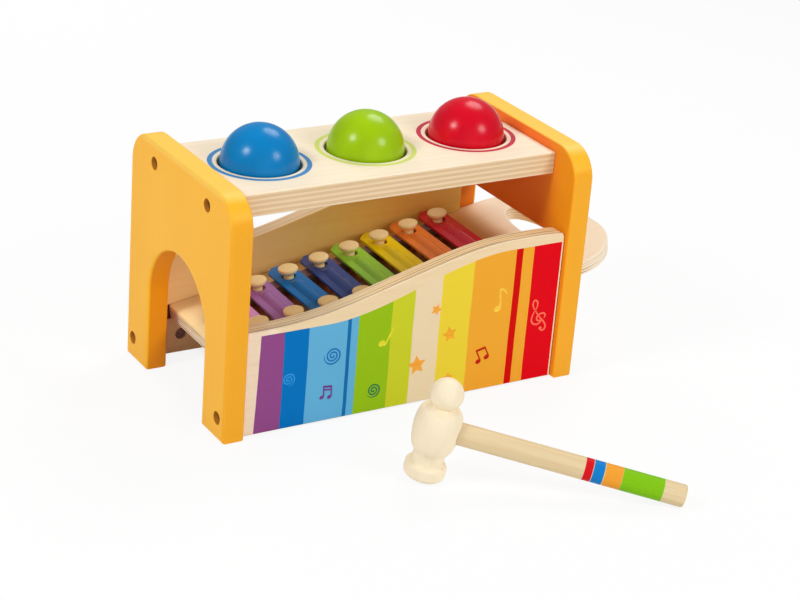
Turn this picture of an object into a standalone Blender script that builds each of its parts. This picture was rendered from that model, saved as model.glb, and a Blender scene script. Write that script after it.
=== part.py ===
"""A wooden pounding bench: three balls over a slide-out xylophone, with a hammer lying in front.

The bench stands along X, its front faces -Y and +Z is up, in metres. Everything hangs on one root empty,
which puts the middle of the whole set's footprint at the origin.
"""
import math

import bmesh
import bpy
from mathutils import Matrix, Vector

# Bench sides
BENCH_LENGTH = 0.234
BENCH_DEPTH = 0.128
SIDE_HEIGHT = 0.143
SIDE_THICKNESS = 0.0134
SIDE_CORNER_RADIUS = 0.019
SIDE_EDGE_ROUND = 0.0016
ARCH_WIDTH = 0.0738
ARCH_HEIGHT = 0.0876
SLOT_HEADROOM = 0.0045
SLOT_CORNER_RADIUS = 0.004

# Top board and its balls
TOP_BOARD_SINK = 0.0057
TOP_BOARD_THICKNESS = 0.0136
TOP_BOARD_WIDTH = 0.085
TOP_EDGE_ROUND = 0.0008
BALL_DIAMETER = 0.045
BALL_END_GAP = 0.01135
BALL_HOLE_GAP = 0.00145
HOLE_CHAMFER = 0.0010
RING_GRIP = 0.00075
RING_SEAT = 0.00080

# Front and rear panels
PANEL_THICKNESS = 0.0105
PANEL_RECESS = 0.0030
PANEL_FLOOR_GAP = 0.0006
PANEL_CORNER_RADIUS = 0.003
PANEL_EDGE_ROUND = 0.0008
WAVE_LOW = 0.0640
WAVE_HIGH = 0.0942
WAVE_FLAT_RIGHT = 0.018
WAVE_DROP = 0.0010
GROOVE_DEPTH = 0.0040
GROOVE_END_WALL = 0.0012

# Slide-out xylophone, measured along its own slope from its lower left end
BOARD_SLOPE = math.radians(9.27)
BOARD_THICKNESS = 0.0090
BOARD_LEFT_HEIGHT = 0.0328
BOARD_LEFT_CORNER = 0.005
BOARD_EDGE_ROUND = 0.0010
HANDLE_REACH = 0.044
HANDLE_CORNER_RADIUS = 0.040
FINGER_HOLE_OFFSET = 0.0120
FINGER_HOLE_LENGTH = 0.068
FINGER_HOLE_WIDTH = 0.022
BAR_COLOURS = (
    ("pink", (200, 130, 190)),
    ("purple", (145, 85, 140)),
    ("blue", (20, 95, 160)),
    ("navy", (45, 60, 110)),
    ("green", (115, 160, 50)),
    ("yellow", (210, 180, 10)),
    ("orange", (205, 85, 30)),
    ("red", (150, 10, 30)),
)
FIRST_BAR = 0.0241
BAR_END_ROOM = 0.0269
BAR_WIDTH = 0.0165
BAR_SHEET = 0.0016
BAR_OVERHANG = 0.0156
BAR_CORNER_CUT = 0.0045
RIB_WIDTH = 0.0085
RIB_HEIGHT = 0.0024
RIB_END_GAP = 0.0070
RIB_RUN_OUT = 0.0060
FIRST_PEG_SPAN = 0.0426
PEG_SPAN_STEP = 0.00336
RAIL_WIDTH = 0.0090
RAIL_HEIGHT = 0.0045
RAIL_END = 0.0130
FELT_THICKNESS = 0.0010
SOUND_HOLE_MARGIN = 0.0040
SOUND_HOLE_CORNER = 0.0040
PEG_STEM_DIAMETER = 0.0062
PEG_HEAD_DIAMETER = 0.0120
PEG_CONE = 0.0038
PEG_RIM = 0.0009
PEG_CROWN = 0.0007
PEG_NECK = 0.0012
PEG_BORE_FLOOR = 0.0020
BAR_BORE_GAP = 0.0011

# Fasteners
BOLT_HEAD_DIAMETER = 0.0072
BOLT_HEAD_HEIGHT = 0.0044
BOLT_HEAD_SINK = 0.0026
BOLT_SOCKET = 0.0036
BOLT_SHANK = 0.0040
BOLT_HEIGHT = 0.0128
BOLT_TIP_ROOM = 0.0012
BOLT_TOP_INSET = 0.0090
NUT_DIAMETER = 0.0068
NUT_REACH = 0.0155
NUT_SINK = 0.0012

# Hammer, and where its head stands in front of the bench
HANDLE_LENGTH = 0.1386
HANDLE_DIAMETER = 0.0126
HANDLE_END_ROUND = 0.0012
HANDLE_TENON_GAP = 0.0050
HEAD_BALL_DIAMETER = 0.0186
HEAD_BALL_NECK = 0.0132
HEAD_NECK_LENGTH = 0.00125
HEAD_BARREL_DIAMETER = 0.0264
HEAD_BARREL_RISE = 0.0012
HEAD_BARREL_UPPER = 0.0116
HEAD_BARREL_LOWER = 0.0152
HEAD_BARREL_FULLNESS = 0.6
HEAD_DISC_NECK = 0.0176
HEAD_DISC_DIAMETER = 0.0232
HEAD_DISC_HEIGHT = 0.0088
HEAD_WAIST_LENGTH = 0.0072
HEAD_DISC_ROUND = 0.0030
HEAD_DISC_LIP = 0.0021
HAMMER_X = -0.0288
HAMMER_Y = -0.1421
HAMMER_TURN = math.radians(-36.0)

# Gaps between pieces
FIT = 0.0003
SLIDE_CLEARANCE = 0.0003
SIDE_CLEARANCE = 0.0007

# Facets
PEG_STEPS = 10
BOLT_STEPS = 8
TURNED_STEPS = 20
BALL_STEPS = 20
HOLE_STEPS = 32
ARC_STEPS = 6
CORNER_STEPS = 4
RING_STEPS = 6
WAVE_STEPS = 20

# Worked out from the sizes above
BALL_RADIUS = BALL_DIAMETER / 2
HOLE_RADIUS = BALL_RADIUS + BALL_HOLE_GAP
TOP_BOARD_HEIGHT = SIDE_HEIGHT - TOP_BOARD_SINK
RING_WIRE = BALL_HOLE_GAP + RING_GRIP + RING_SEAT
RING_RADIUS = HOLE_RADIUS + RING_SEAT - RING_WIRE / 2
RING_DEPTH = math.sqrt((BALL_RADIUS + RING_WIRE / 2 + FIT) ** 2 - RING_RADIUS ** 2)
INNER_LENGTH = BENCH_LENGTH - 2 * SIDE_THICKNESS
BALL_PITCH = INNER_LENGTH / 2 - BALL_END_GAP - HOLE_RADIUS
PANEL_INSIDE = BENCH_DEPTH / 2 - PANEL_RECESS - PANEL_THICKNESS
PANEL_MIDDLE = PANEL_INSIDE + PANEL_THICKNESS / 2
BOARD_WIDTH = 2 * (PANEL_INSIDE + GROOVE_DEPTH - SIDE_CLEARANCE)
GROOVE_END_RADIUS = BOARD_THICKNESS / 2 + SLIDE_CLEARANCE
BOARD_LEFT = -INNER_LENGTH / 2 + FIT + GROOVE_END_WALL + GROOVE_END_RADIUS + SLIDE_CLEARANCE
BOARD_LENGTH = (BENCH_LENGTH / 2 + HANDLE_REACH - BOARD_LEFT) / math.cos(BOARD_SLOPE)
RAIL_TOP = FIT + RAIL_HEIGHT
FELT_TOP = RAIL_TOP + FIT + FELT_THICKNESS
BAR_UNDER = FELT_TOP + FIT
BAR_TOP = BAR_UNDER + BAR_SHEET
PEG_HEAD_UNDER = BAR_TOP + PEG_NECK
PEG_TOP = PEG_HEAD_UNDER + PEG_CONE + PEG_RIM + PEG_CROWN
PEG_BORE_DEPTH = BOARD_THICKNESS - PEG_BORE_FLOOR
LAST_BAR = (INNER_LENGTH / 2 - BAR_END_ROOM - BOARD_LEFT) / math.cos(BOARD_SLOPE)
BAR_PITCH = (LAST_BAR - FIRST_BAR) / (len(BAR_COLOURS) - 1)
HEAD_NECK_DROP = math.sqrt(HEAD_BALL_DIAMETER ** 2 - HEAD_BALL_NECK ** 2) / 2
HEAD_BALL_CENTRE = HEAD_BARREL_RISE + HEAD_BARREL_UPPER + HEAD_NECK_LENGTH + HEAD_NECK_DROP
HEAD_DISC_BOTTOM = HEAD_BARREL_LOWER - HEAD_BARREL_RISE + HEAD_WAIST_LENGTH + HEAD_DISC_HEIGHT


def linear(channel):
    """One 0 to 255 screen colour channel as linear light."""
    value = channel / 255
    return value / 12.92 if value <= 0.04045 else ((value + 0.055) / 1.055) ** 2.4


def material(name, colour, roughness, metallic=0.0):
    made = bpy.data.materials.new(name)
    made.use_nodes = True
    shader = made.node_tree.nodes["Principled BSDF"]
    shader.inputs["Base Color"].default_value = (*(linear(c) for c in colour), 1.0)
    shader.inputs["Roughness"].default_value = roughness
    shader.inputs["Metallic"].default_value = metallic
    made.diffuse_color = (*(c / 255 for c in colour), 1.0)
    return made


def empty(name, parent=None):
    made = bpy.data.objects.new(name, None)
    bpy.context.collection.objects.link(made)
    made.parent = parent
    return made


def add(name, bm, finish, parent, location=(0, 0, 0)):
    """Make a named object of a bmesh, shaded smooth with its sharp edges kept."""
    bmesh.ops.recalc_face_normals(bm, faces=bm.faces)
    mesh = bpy.data.meshes.new(name)
    bm.to_mesh(mesh)
    bm.free()
    mesh.shade_smooth()
    mesh.set_sharp_from_angle(angle=math.radians(35))
    made = bpy.data.objects.new(name, mesh)
    bpy.context.collection.objects.link(made)
    made.parent = parent
    made.location = location
    if finish:
        mesh.materials.append(finish)
    return made


def cutter(name, bm, parent, location=(0, 0, 0)):
    made = add(name, bm, None, parent, location)
    made.hide_render = True
    made.display_type = "WIRE"
    return made


def cut(target, tool):
    step = target.modifiers.new("Cut", "BOOLEAN")
    step.operation = "DIFFERENCE"
    step.solver = "EXACT"
    step.object = tool


def round_edges(target, width, segments=2):
    step = target.modifiers.new("Round", "BEVEL")
    step.width = width
    step.segments = segments
    step.limit_method = "ANGLE"
    step.angle_limit = math.radians(50)


def arc(centre, radius, start, end, steps=ARC_STEPS):
    """Points on an arc, angles in degrees, both ends included."""
    points = []
    for i in range(steps + 1):
        angle = math.radians(start + (end - start) * i / steps)
        points.append((centre[0] + radius * math.cos(angle), centre[1] + radius * math.sin(angle)))
    return points


def rounded_box(low, high, radius, steps=CORNER_STEPS):
    """A rectangle's outline with round corners, counter-clockwise."""
    (x0, y0), (x1, y1) = low, high
    return (
        arc((x1 - radius, y0 + radius), radius, -90, 0, steps)
        + arc((x1 - radius, y1 - radius), radius, 0, 90, steps)
        + arc((x0 + radius, y1 - radius), radius, 90, 180, steps)
        + arc((x0 + radius, y0 + radius), radius, 180, 270, steps)
    )


def prism(outline, low, high, plane):
    """Extrude an outline drawn in one plane from low to high along the third axis."""
    third = {"YZ": 0, "XZ": 1, "XY": 2}[plane]
    bm = bmesh.new()
    verts = []
    for u, v in outline:
        point = [u, v]
        point.insert(third, low)
        verts.append(bm.verts.new(point))
    face = bm.faces.new(verts)
    grown = bmesh.ops.extrude_face_region(bm, geom=[face])["geom"]
    shift = [0, 0, 0]
    shift[third] = high - low
    moved = [g for g in grown if isinstance(g, bmesh.types.BMVert)]
    bmesh.ops.translate(bm, verts=moved, vec=shift)
    return bm


def turned(profile, steps, closed=False, into=None, place=Matrix()):
    """Spin a profile of (radius, height) points about Z. A closed profile makes a ring."""
    bm = bmesh.new()
    verts = [bm.verts.new((r, 0, z)) for r, z in profile]
    pairs = list(zip(verts, verts[1:]))
    if closed:
        pairs.append((verts[-1], verts[0]))
    edges = [bm.edges.new(pair) for pair in pairs]
    bmesh.ops.spin(bm, geom=verts + edges, cent=(0, 0, 0), axis=(0, 0, 1), angle=math.tau,
                   steps=steps, use_merge=True)
    bmesh.ops.remove_doubles(bm, verts=bm.verts, dist=1e-7)
    bmesh.ops.transform(bm, matrix=place, verts=bm.verts)
    if into is None:
        return bm
    scratch = bpy.data.meshes.new("scratch")
    bm.to_mesh(scratch)
    bm.free()
    into.from_mesh(scratch)
    bpy.data.meshes.remove(scratch)
    return into


def cylinder_profile(radius, low, high):
    return [(0, high), (radius, high), (radius, low), (0, low)]


def along_x(x, y, z, end=1):
    """Places a turned piece with its axis along X, its top towards the given end."""
    return Matrix.Translation((x, y, z)) @ Matrix.Rotation(end * math.pi / 2, 4, "Y")


def wave_height(x):
    """Upper edge of the front and rear panels: low at the left, a smooth step up, nearly flat at the end."""
    start = -INNER_LENGTH / 2
    end = INNER_LENGTH / 2 - WAVE_FLAT_RIGHT
    t = min(max((x - start) / (end - start), 0), 1)
    step = t ** 3 * (t * (6 * t - 15) + 10)
    past = max(x - end, 0) / WAVE_FLAT_RIGHT
    return WAVE_LOW + (WAVE_HIGH - WAVE_LOW) * step - WAVE_DROP * past ** 2


def slope_height(x, rise):
    """Height above the floor of a plane that lies the given rise above the sloping board's top."""
    return BOARD_LEFT_HEIGHT + (x - BOARD_LEFT) * math.tan(BOARD_SLOPE) + rise / math.cos(BOARD_SLOPE)


def peg_half_span(index):
    return (FIRST_PEG_SPAN + PEG_SPAN_STEP * index) / 2


def row_offset(along):
    """Distance of the peg rows from the board's middle line, at a place along the board."""
    return peg_half_span((along - FIRST_BAR) / BAR_PITCH)


def bolt_places():
    """The label, y and z of the four bolts through each side: two into the top board, two into the panels."""
    top = TOP_BOARD_HEIGHT - TOP_BOARD_THICKNESS / 2
    for side, sign in (("front", -1), ("rear", 1)):
        yield f"top_{side}", sign * (TOP_BOARD_WIDTH / 2 - BOLT_TOP_INSET), top
        yield f"low_{side}", sign * PANEL_MIDDLE, BOLT_HEIGHT


def bolt_hole_cutter(root):
    """Counterbores and clearance holes for all eight bolts, one mesh."""
    bm = bmesh.new()
    head = BOLT_HEAD_DIAMETER / 2 + FIT
    shank = BOLT_SHANK / 2 + FIT
    seat = BOLT_HEAD_SINK + BOLT_HEAD_HEIGHT + FIT
    tip = SIDE_THICKNESS + NUT_REACH + NUT_DIAMETER / 2 + BOLT_TIP_ROOM
    over = SIDE_THICKNESS
    profile = [(0, over), (head, over), (head, -seat), (shank, -seat), (shank, -tip), (0, -tip)]
    for _label, y, z in bolt_places():
        for end in (-1, 1):
            place = along_x(end * BENCH_LENGTH / 2, y, z, end)
            turned(profile, BOLT_STEPS, into=bm, place=place)
    return cutter("bolt_holes", bm, root)


def nut_place(label, end, y, z):
    """Where a barrel nut's axis crosses its bolt, and how it lies."""
    x = end * (INNER_LENGTH / 2 - NUT_REACH)
    if label.startswith("top"):
        return Matrix.Translation((x, y, z))
    return Matrix.Translation((x, y, z)) @ Matrix.Rotation(math.copysign(math.pi / 2, -y), 4, "X")


def nut_length(label):
    wall = TOP_BOARD_THICKNESS if label.startswith("top") else PANEL_THICKNESS
    return wall - 2 * NUT_SINK


def nut_pocket_cutter(root):
    """Blind pockets for the barrel nuts: from under the top board, and from the panels' inner faces."""
    bm = bmesh.new()
    for label, y, z in bolt_places():
        reach = nut_length(label) / 2
        profile = cylinder_profile(NUT_DIAMETER / 2 + FIT, -reach - 2 * NUT_SINK, reach + FIT)
        for end in (-1, 1):
            turned(profile, BOLT_STEPS, into=bm, place=nut_place(label, end, y, z))
    return cutter("nut_pockets", bm, root)


def make_sides(root, paint, bolt_holes):
    half = BENCH_DEPTH / 2
    r = SIDE_CORNER_RADIUS
    top = arc((half - r, SIDE_HEIGHT - r), r, 0, 90) + arc((r - half, SIDE_HEIGHT - r), r, 90, 180)
    outline = [(half, 0)] + top + [(-half, 0)]
    arch_r = ARCH_WIDTH / 2
    arch = arc((0, ARCH_HEIGHT - arch_r), arch_r, 180, 0, 3 * ARC_STEPS)
    legs = [(-arch_r, 0)] + arch + [(arch_r, 0)]
    inside = INNER_LENGTH / 2
    outside = BENCH_LENGTH / 2
    left = add("left_side_panel", prism(outline + legs, -outside, -inside, "YZ"), paint, root)
    right = add("right_side_panel", prism(outline, inside, outside, "YZ"), paint, root)
    sill = slope_height(inside, -BOARD_THICKNESS) - SLOT_CORNER_RADIUS
    lintel = slope_height(outside, PEG_TOP) + SLOT_HEADROOM
    reach = BOARD_WIDTH / 2 + SIDE_CLEARANCE
    slot = rounded_box((-reach, sill), (reach, lintel), SLOT_CORNER_RADIUS)
    window = cutter("slot_window", prism(slot, inside - SIDE_THICKNESS, outside + SIDE_THICKNESS, "YZ"), root)
    for side in (left, right):
        round_edges(side, SIDE_EDGE_ROUND)
        cut(side, bolt_holes)
    cut(right, window)


def make_top_board(root, birch, bolt_holes, pockets):
    half_x = INNER_LENGTH / 2 - FIT
    half_y = TOP_BOARD_WIDTH / 2
    outline = [(-half_x, -half_y), (half_x, -half_y), (half_x, half_y), (-half_x, half_y)]
    bm = prism(outline, TOP_BOARD_HEIGHT - TOP_BOARD_THICKNESS, TOP_BOARD_HEIGHT, "XY")
    board = add("top_board", bm, birch, root)
    round_edges(board, TOP_EDGE_ROUND)
    cut(board, bolt_holes)
    cut(board, pockets)
    ring_room = RING_WIRE / 2 + FIT
    over = HOLE_CHAMFER
    profile = [
        (0, over),
        (HOLE_RADIUS + HOLE_CHAMFER + over, over),
        (HOLE_RADIUS, -HOLE_CHAMFER),
        (HOLE_RADIUS, ring_room - RING_DEPTH),
        (RING_RADIUS + ring_room, ring_room - RING_DEPTH),
        (RING_RADIUS + ring_room, -ring_room - RING_DEPTH),
        (HOLE_RADIUS, -ring_room - RING_DEPTH),
        (HOLE_RADIUS, -over - TOP_BOARD_THICKNESS),
        (0, -over - TOP_BOARD_THICKNESS),
    ]
    holes = bmesh.new()
    for i in (-1, 0, 1):
        place = Matrix.Translation((i * BALL_PITCH, 0, TOP_BOARD_HEIGHT))
        turned(profile, HOLE_STEPS, into=holes, place=place)
    cut(board, cutter("ball_holes", holes, root))


def make_balls(root, rubber):
    ring = arc((RING_RADIUS, -RING_DEPTH), RING_WIRE / 2, 0, -360, RING_STEPS)[:-1]
    ball = arc((0, 0), BALL_RADIUS, 90, -90, BALL_STEPS // 2)
    ball[0] = (0, BALL_RADIUS)
    ball[-1] = (0, -BALL_RADIUS)
    colours = (("blue", (0, 125, 190)), ("green", (160, 205, 20)), ("red", (222, 10, 25)))
    for i, (name, colour) in enumerate(colours):
        place = ((i - 1) * BALL_PITCH, 0, TOP_BOARD_HEIGHT)
        add(f"ball_{name}", turned(ball, BALL_STEPS), material(f"ball_{name}", colour, 0.25), root, place)
        add(f"grip_ring_{name}", turned(ring, HOLE_STEPS, closed=True), rubber, root, place)


def make_panels(root, birch, bolt_holes, pockets, slide):
    half = INNER_LENGTH / 2 - FIT
    r = PANEL_CORNER_RADIUS
    bottom = PANEL_FLOOR_GAP
    right = half - r
    outline = [(-half, bottom), (half, bottom)] + arc((right, wave_height(right) - r), r, 0, 90, CORNER_STEPS)
    for i in range(1, WAVE_STEPS + 1):
        x = right + (-half - right) * i / WAVE_STEPS
        outline.append((x, wave_height(x)))
    high = SLIDE_CLEARANCE
    low = -BOARD_THICKNESS - SLIDE_CLEARANCE
    path = arc((-SLIDE_CLEARANCE, -BOARD_THICKNESS / 2), GROOVE_END_RADIUS, 90, 270)
    path += [(BOARD_LENGTH, low), (BOARD_LENGTH, high)]
    reach = PANEL_INSIDE + GROOVE_DEPTH
    groove = cutter("board_path", prism(path, -reach, reach, "XZ"), slide)
    for name, sign in (("front_panel", -1), ("rear_panel", 1)):
        faces = sorted((sign * PANEL_INSIDE, sign * (PANEL_INSIDE + PANEL_THICKNESS)))
        panel = add(name, prism(outline, *faces, "XZ"), birch, root)
        round_edges(panel, PANEL_EDGE_ROUND)
        for tool in (groove, bolt_holes, pockets):
            cut(panel, tool)


def make_bolts_and_nuts(root, steel):
    head, socket, shank = BOLT_HEAD_DIAMETER / 2, BOLT_SOCKET / 2, BOLT_SHANK / 2
    seat = BOLT_HEAD_SINK + BOLT_HEAD_HEIGHT
    tip = SIDE_THICKNESS + NUT_REACH + NUT_DIAMETER / 2
    floor = BOLT_HEAD_SINK + BOLT_HEAD_HEIGHT / 2
    profile = [
        (0, -floor), (socket, -floor), (socket, -BOLT_HEAD_SINK), (head, -BOLT_HEAD_SINK),
        (head, -seat), (shank, -seat), (shank, -tip), (0, -tip),
    ]
    for end, side in ((-1, "left"), (1, "right")):
        for label, y, z in bolt_places():
            turn = along_x(0, 0, 0, end)
            place = (end * BENCH_LENGTH / 2, y, z)
            add(f"bolt_{side}_{label}", turned(profile, BOLT_STEPS, place=turn), steel, root, place)
            reach = nut_length(label) / 2
            body = cylinder_profile(NUT_DIAMETER / 2, -reach, reach)
            nut = add(f"barrel_nut_{side}_{label}",
                      turned(body, BOLT_STEPS, place=nut_place(label, end, y, z)), steel, root)
            bore = cylinder_profile(shank + FIT, -NUT_DIAMETER, NUT_DIAMETER)
            place = along_x(end * (INNER_LENGTH / 2 - NUT_REACH), y, z)
            cut(nut, cutter(f"nut_bore_{side}_{label}", turned(bore, BOLT_STEPS, place=place), root))


def make_board(slide, birch):
    half = BOARD_WIDTH / 2
    r, tip = BOARD_LEFT_CORNER, HANDLE_CORNER_RADIUS
    outline = (
        arc((r, r - half), r, 180, 270, CORNER_STEPS)
        + arc((BOARD_LENGTH - tip, tip - half), tip, -90, 0, 2 * ARC_STEPS)
        + arc((BOARD_LENGTH - tip, half - tip), tip, 0, 90, 2 * ARC_STEPS)
        + arc((r, half - r), r, 90, 180, CORNER_STEPS)
    )
    board = add("xylophone_board", prism(outline, -BOARD_THICKNESS, 0, "XY"), birch, slide)
    round_edges(board, BOARD_EDGE_ROUND)

    centre = (BENCH_LENGTH / 2 + FINGER_HOLE_OFFSET - BOARD_LEFT) / math.cos(BOARD_SLOPE)
    grip = []
    for u, v in arc((0, 0), 1, 0, 360, 4 * ARC_STEPS)[:-1]:
        grip.append((centre + u * FINGER_HOLE_WIDTH / 2, v * FINGER_HOLE_LENGTH / 2))
    start = FIRST_BAR - RAIL_END + SOUND_HOLE_MARGIN
    end = LAST_BAR + RAIL_END - SOUND_HOLE_MARGIN
    inset = RAIL_WIDTH / 2 + SOUND_HOLE_MARGIN
    near, far = row_offset(start) - inset, row_offset(end) - inset
    sound = [(start, -near), (end, -far), (end, far), (start, near)]
    for name, shape in (("finger_hole", grip), ("sound_hole", sound)):
        tool = cutter(name, prism(shape, -2 * BOARD_THICKNESS, BOARD_THICKNESS, "XY"), slide)
        round_edges(tool, SOUND_HOLE_CORNER, 3)
        cut(board, tool)
    cut(board, peg_bores("board_peg_bores", slide, FIT, -PEG_BORE_DEPTH - FIT, BOARD_THICKNESS))


def peg_bores(name, slide, gap, low, high, rows=(-1, 1)):
    """One cutter with a bore for each peg of the given rows."""
    bm = bmesh.new()
    profile = cylinder_profile(PEG_STEM_DIAMETER / 2 + gap, low, high)
    for i in range(len(BAR_COLOURS)):
        for row in rows:
            spot = Matrix.Translation((FIRST_BAR + i * BAR_PITCH, row * peg_half_span(i), 0))
            turned(profile, PEG_STEPS, into=bm, place=spot)
    return cutter(name, bm, slide)


def make_rails(slide, birch, felt):
    """Two sloping strips under the bars, each with a felt strip on top, both bored for the pegs."""
    start, end = FIRST_BAR - RAIL_END, LAST_BAR + RAIL_END
    for row, side in ((-1, "front"), (1, "rear")):
        outline = []
        for along, edge in ((start, -1), (end, -1), (end, 1), (start, 1)):
            outline.append((along, row * row_offset(along) + edge * RAIL_WIDTH / 2))
        bores = peg_bores(f"{side}_rail_bores", slide, FIT, -RAIL_TOP, BAR_UNDER + RAIL_TOP, (row,))
        rail = add(f"{side}_rail", prism(outline, FIT, RAIL_TOP, "XY"), birch, slide)
        pad = add(f"{side}_felt_strip", prism(outline, RAIL_TOP + FIT, FELT_TOP, "XY"), felt, slide)
        cut(rail, bores)
        cut(pad, bores)


def bar_rib(x, y, rib_half_length):
    """Height of the pressed rib over the bar's flat sheet."""
    across = max(0.0, 1 - (2 * x / RIB_WIDTH) ** 2)
    run = min(max((rib_half_length - abs(y)) / RIB_RUN_OUT, 0), 1)
    return RIB_HEIGHT * across * run * (2 - run)


def make_bar(name, index, slide, finish):
    """A pressed metal bar: one sheet with cut corners, a hollow rib between its pegs and two peg bores."""
    half_w = BAR_WIDTH / 2
    span = peg_half_span(index)
    half_l = span + BAR_OVERHANG
    rib_half = span - RIB_END_GAP
    xs = [-half_w] + [RIB_WIDTH / 4 * k for k in range(-2, 3)] + [half_w]
    ys = [BAR_CORNER_CUT - half_l, -rib_half, RIB_RUN_OUT - rib_half]
    ys = ys + [-y for y in reversed(ys)]
    bm = bmesh.new()
    rows = []
    for y in [-half_l] + ys + [half_l]:
        squeeze = (half_w - BAR_CORNER_CUT) / half_w if abs(y) == half_l else 1
        rows.append([bm.verts.new((x * squeeze, y, bar_rib(x, y, rib_half))) for x in xs])
    for lower, upper in zip(rows, rows[1:]):
        for i in range(len(xs) - 1):
            bm.faces.new((lower[i], lower[i + 1], upper[i + 1], upper[i]))
    grown = bmesh.ops.extrude_face_region(bm, geom=list(bm.faces))["geom"]
    moved = [g for g in grown if isinstance(g, bmesh.types.BMVert)]
    bmesh.ops.translate(bm, verts=moved, vec=(0, 0, BAR_SHEET))
    bar = add(name, bm, finish, slide, (FIRST_BAR + index * BAR_PITCH, 0, BAR_UNDER))
    bores = bmesh.new()
    profile = cylinder_profile(PEG_STEM_DIAMETER / 2 + BAR_BORE_GAP, -BAR_UNDER, BAR_TOP)
    for row in (-1, 1):
        turned(profile, PEG_STEPS, into=bores, place=Matrix.Translation((0, row * span, 0)))
    cut(bar, cutter(f"{name}_bores", bores, slide, bar.location))


def make_bars_and_pegs(slide, peg_wood):
    stem, head = PEG_STEM_DIAMETER / 2, PEG_HEAD_DIAMETER / 2
    rim_top = PEG_TOP - PEG_CROWN
    rim_bottom = rim_top - PEG_RIM
    shoulder = math.radians(45)
    profile = [
        (0, PEG_TOP),
        (head * math.cos(shoulder), rim_top + PEG_CROWN * math.sin(shoulder)),
        (head, rim_top),
        (head, rim_bottom),
        (stem, PEG_HEAD_UNDER),
        (stem, -PEG_BORE_DEPTH),
        (0, -PEG_BORE_DEPTH),
    ]
    for i, (colour_name, colour) in enumerate(BAR_COLOURS):
        finish = material(f"bar_{colour_name}", colour, 0.3, 0.4)
        make_bar(f"bar_{colour_name}", i, slide, finish)
        for row, side in ((-1, "front"), (1, "rear")):
            place = (FIRST_BAR + i * BAR_PITCH, row * peg_half_span(i), 0)
            add(f"peg_{colour_name}_{side}", turned(profile, PEG_STEPS), peg_wood, slide, place)


def hammer_tilt():
    """The tilt at which both the head's flat end and the handle's far end lie on the floor."""
    foot, butt = HEAD_DISC_ROUND, HANDLE_END_ROUND
    drop = HEAD_DISC_BOTTOM - foot - HANDLE_DIAMETER / 2 + butt
    run = HANDLE_LENGTH - butt - HEAD_DISC_DIAMETER / 2 + foot
    return math.acos((butt - foot) / math.hypot(drop, run)) - math.atan2(run, drop)


def make_hammer(root, head_wood, handle_wood):
    tilt = hammer_tilt()
    foot = HEAD_DISC_ROUND
    depth, reach = HEAD_DISC_BOTTOM - foot, HEAD_DISC_DIAMETER / 2 - foot
    rest = depth * math.cos(tilt) + reach * math.sin(tilt) + foot
    hammer = empty("hammer_pivot", root)
    hammer.location = (HAMMER_X, HAMMER_Y, rest)
    hammer.rotation_euler = (0, tilt, HAMMER_TURN)

    ball_r, neck = HEAD_BALL_DIAMETER / 2, HEAD_BALL_NECK / 2
    neck_angle = math.degrees(math.acos(neck / ball_r))
    profile = arc((0, HEAD_BALL_CENTRE), ball_r, 90, -neck_angle, 2 * CORNER_STEPS)
    profile[0] = (0, HEAD_BALL_CENTRE + ball_r)
    barrel = HEAD_BARREL_DIAMETER / 2
    waist = HEAD_DISC_NECK / 2
    for angle in range(72, -73, -24):
        a = math.radians(angle)
        end, half, shape = waist, HEAD_BARREL_LOWER, math.cos(a)
        if angle > 0:
            end, half, shape = neck, HEAD_BARREL_UPPER, shape ** HEAD_BARREL_FULLNESS
        profile.append((end + (barrel - end) * shape, HEAD_BARREL_RISE + half * math.sin(a)))
    disc_top = HEAD_DISC_HEIGHT - HEAD_DISC_BOTTOM
    disc_r = HEAD_DISC_DIAMETER / 2
    lip = HEAD_DISC_LIP
    profile.append((waist, disc_top + lip / 2))
    profile += arc((disc_r - lip, disc_top - lip), lip, 90, 0, 3)
    profile += arc((disc_r - foot, foot - HEAD_DISC_BOTTOM), foot, 0, -90, CORNER_STEPS)
    profile.append((0, -HEAD_DISC_BOTTOM))
    head = add("hammer_head", turned(profile, TURNED_STEPS), head_wood, hammer)

    grip = HANDLE_DIAMETER / 2
    tenon = HANDLE_TENON_GAP - barrel
    end_arc = arc((grip - HANDLE_END_ROUND, HANDLE_LENGTH - HANDLE_END_ROUND), HANDLE_END_ROUND, 90, 0, 3)
    profile = [(0, HANDLE_LENGTH)] + end_arc + [(grip, tenon), (0, tenon)]
    add("hammer_handle", turned(profile, TURNED_STEPS, place=along_x(0, 0, 0)), handle_wood, hammer)
    socket = cylinder_profile(grip + FIT, tenon - FIT, 2 * barrel)
    cut(head, cutter("handle_socket", turned(socket, TURNED_STEPS, place=along_x(0, 0, 0)), hammer))


def centre_on_origin(root):
    """Move the root so that the middle of the whole set's underside lies at the origin."""
    bpy.context.view_layer.update()
    graph = bpy.context.evaluated_depsgraph_get()
    corners = []
    for piece in bpy.context.scene.objects:
        if piece.type == "MESH" and not piece.hide_render:
            solid = piece.evaluated_get(graph)
            corners += [solid.matrix_world @ v.co for v in solid.data.vertices]
    low = Vector(map(min, zip(*corners)))
    high = Vector(map(max, zip(*corners)))
    root.location = (-(low.x + high.x) / 2, -(low.y + high.y) / 2, -low.z)
    bpy.context.view_layer.update()


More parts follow.
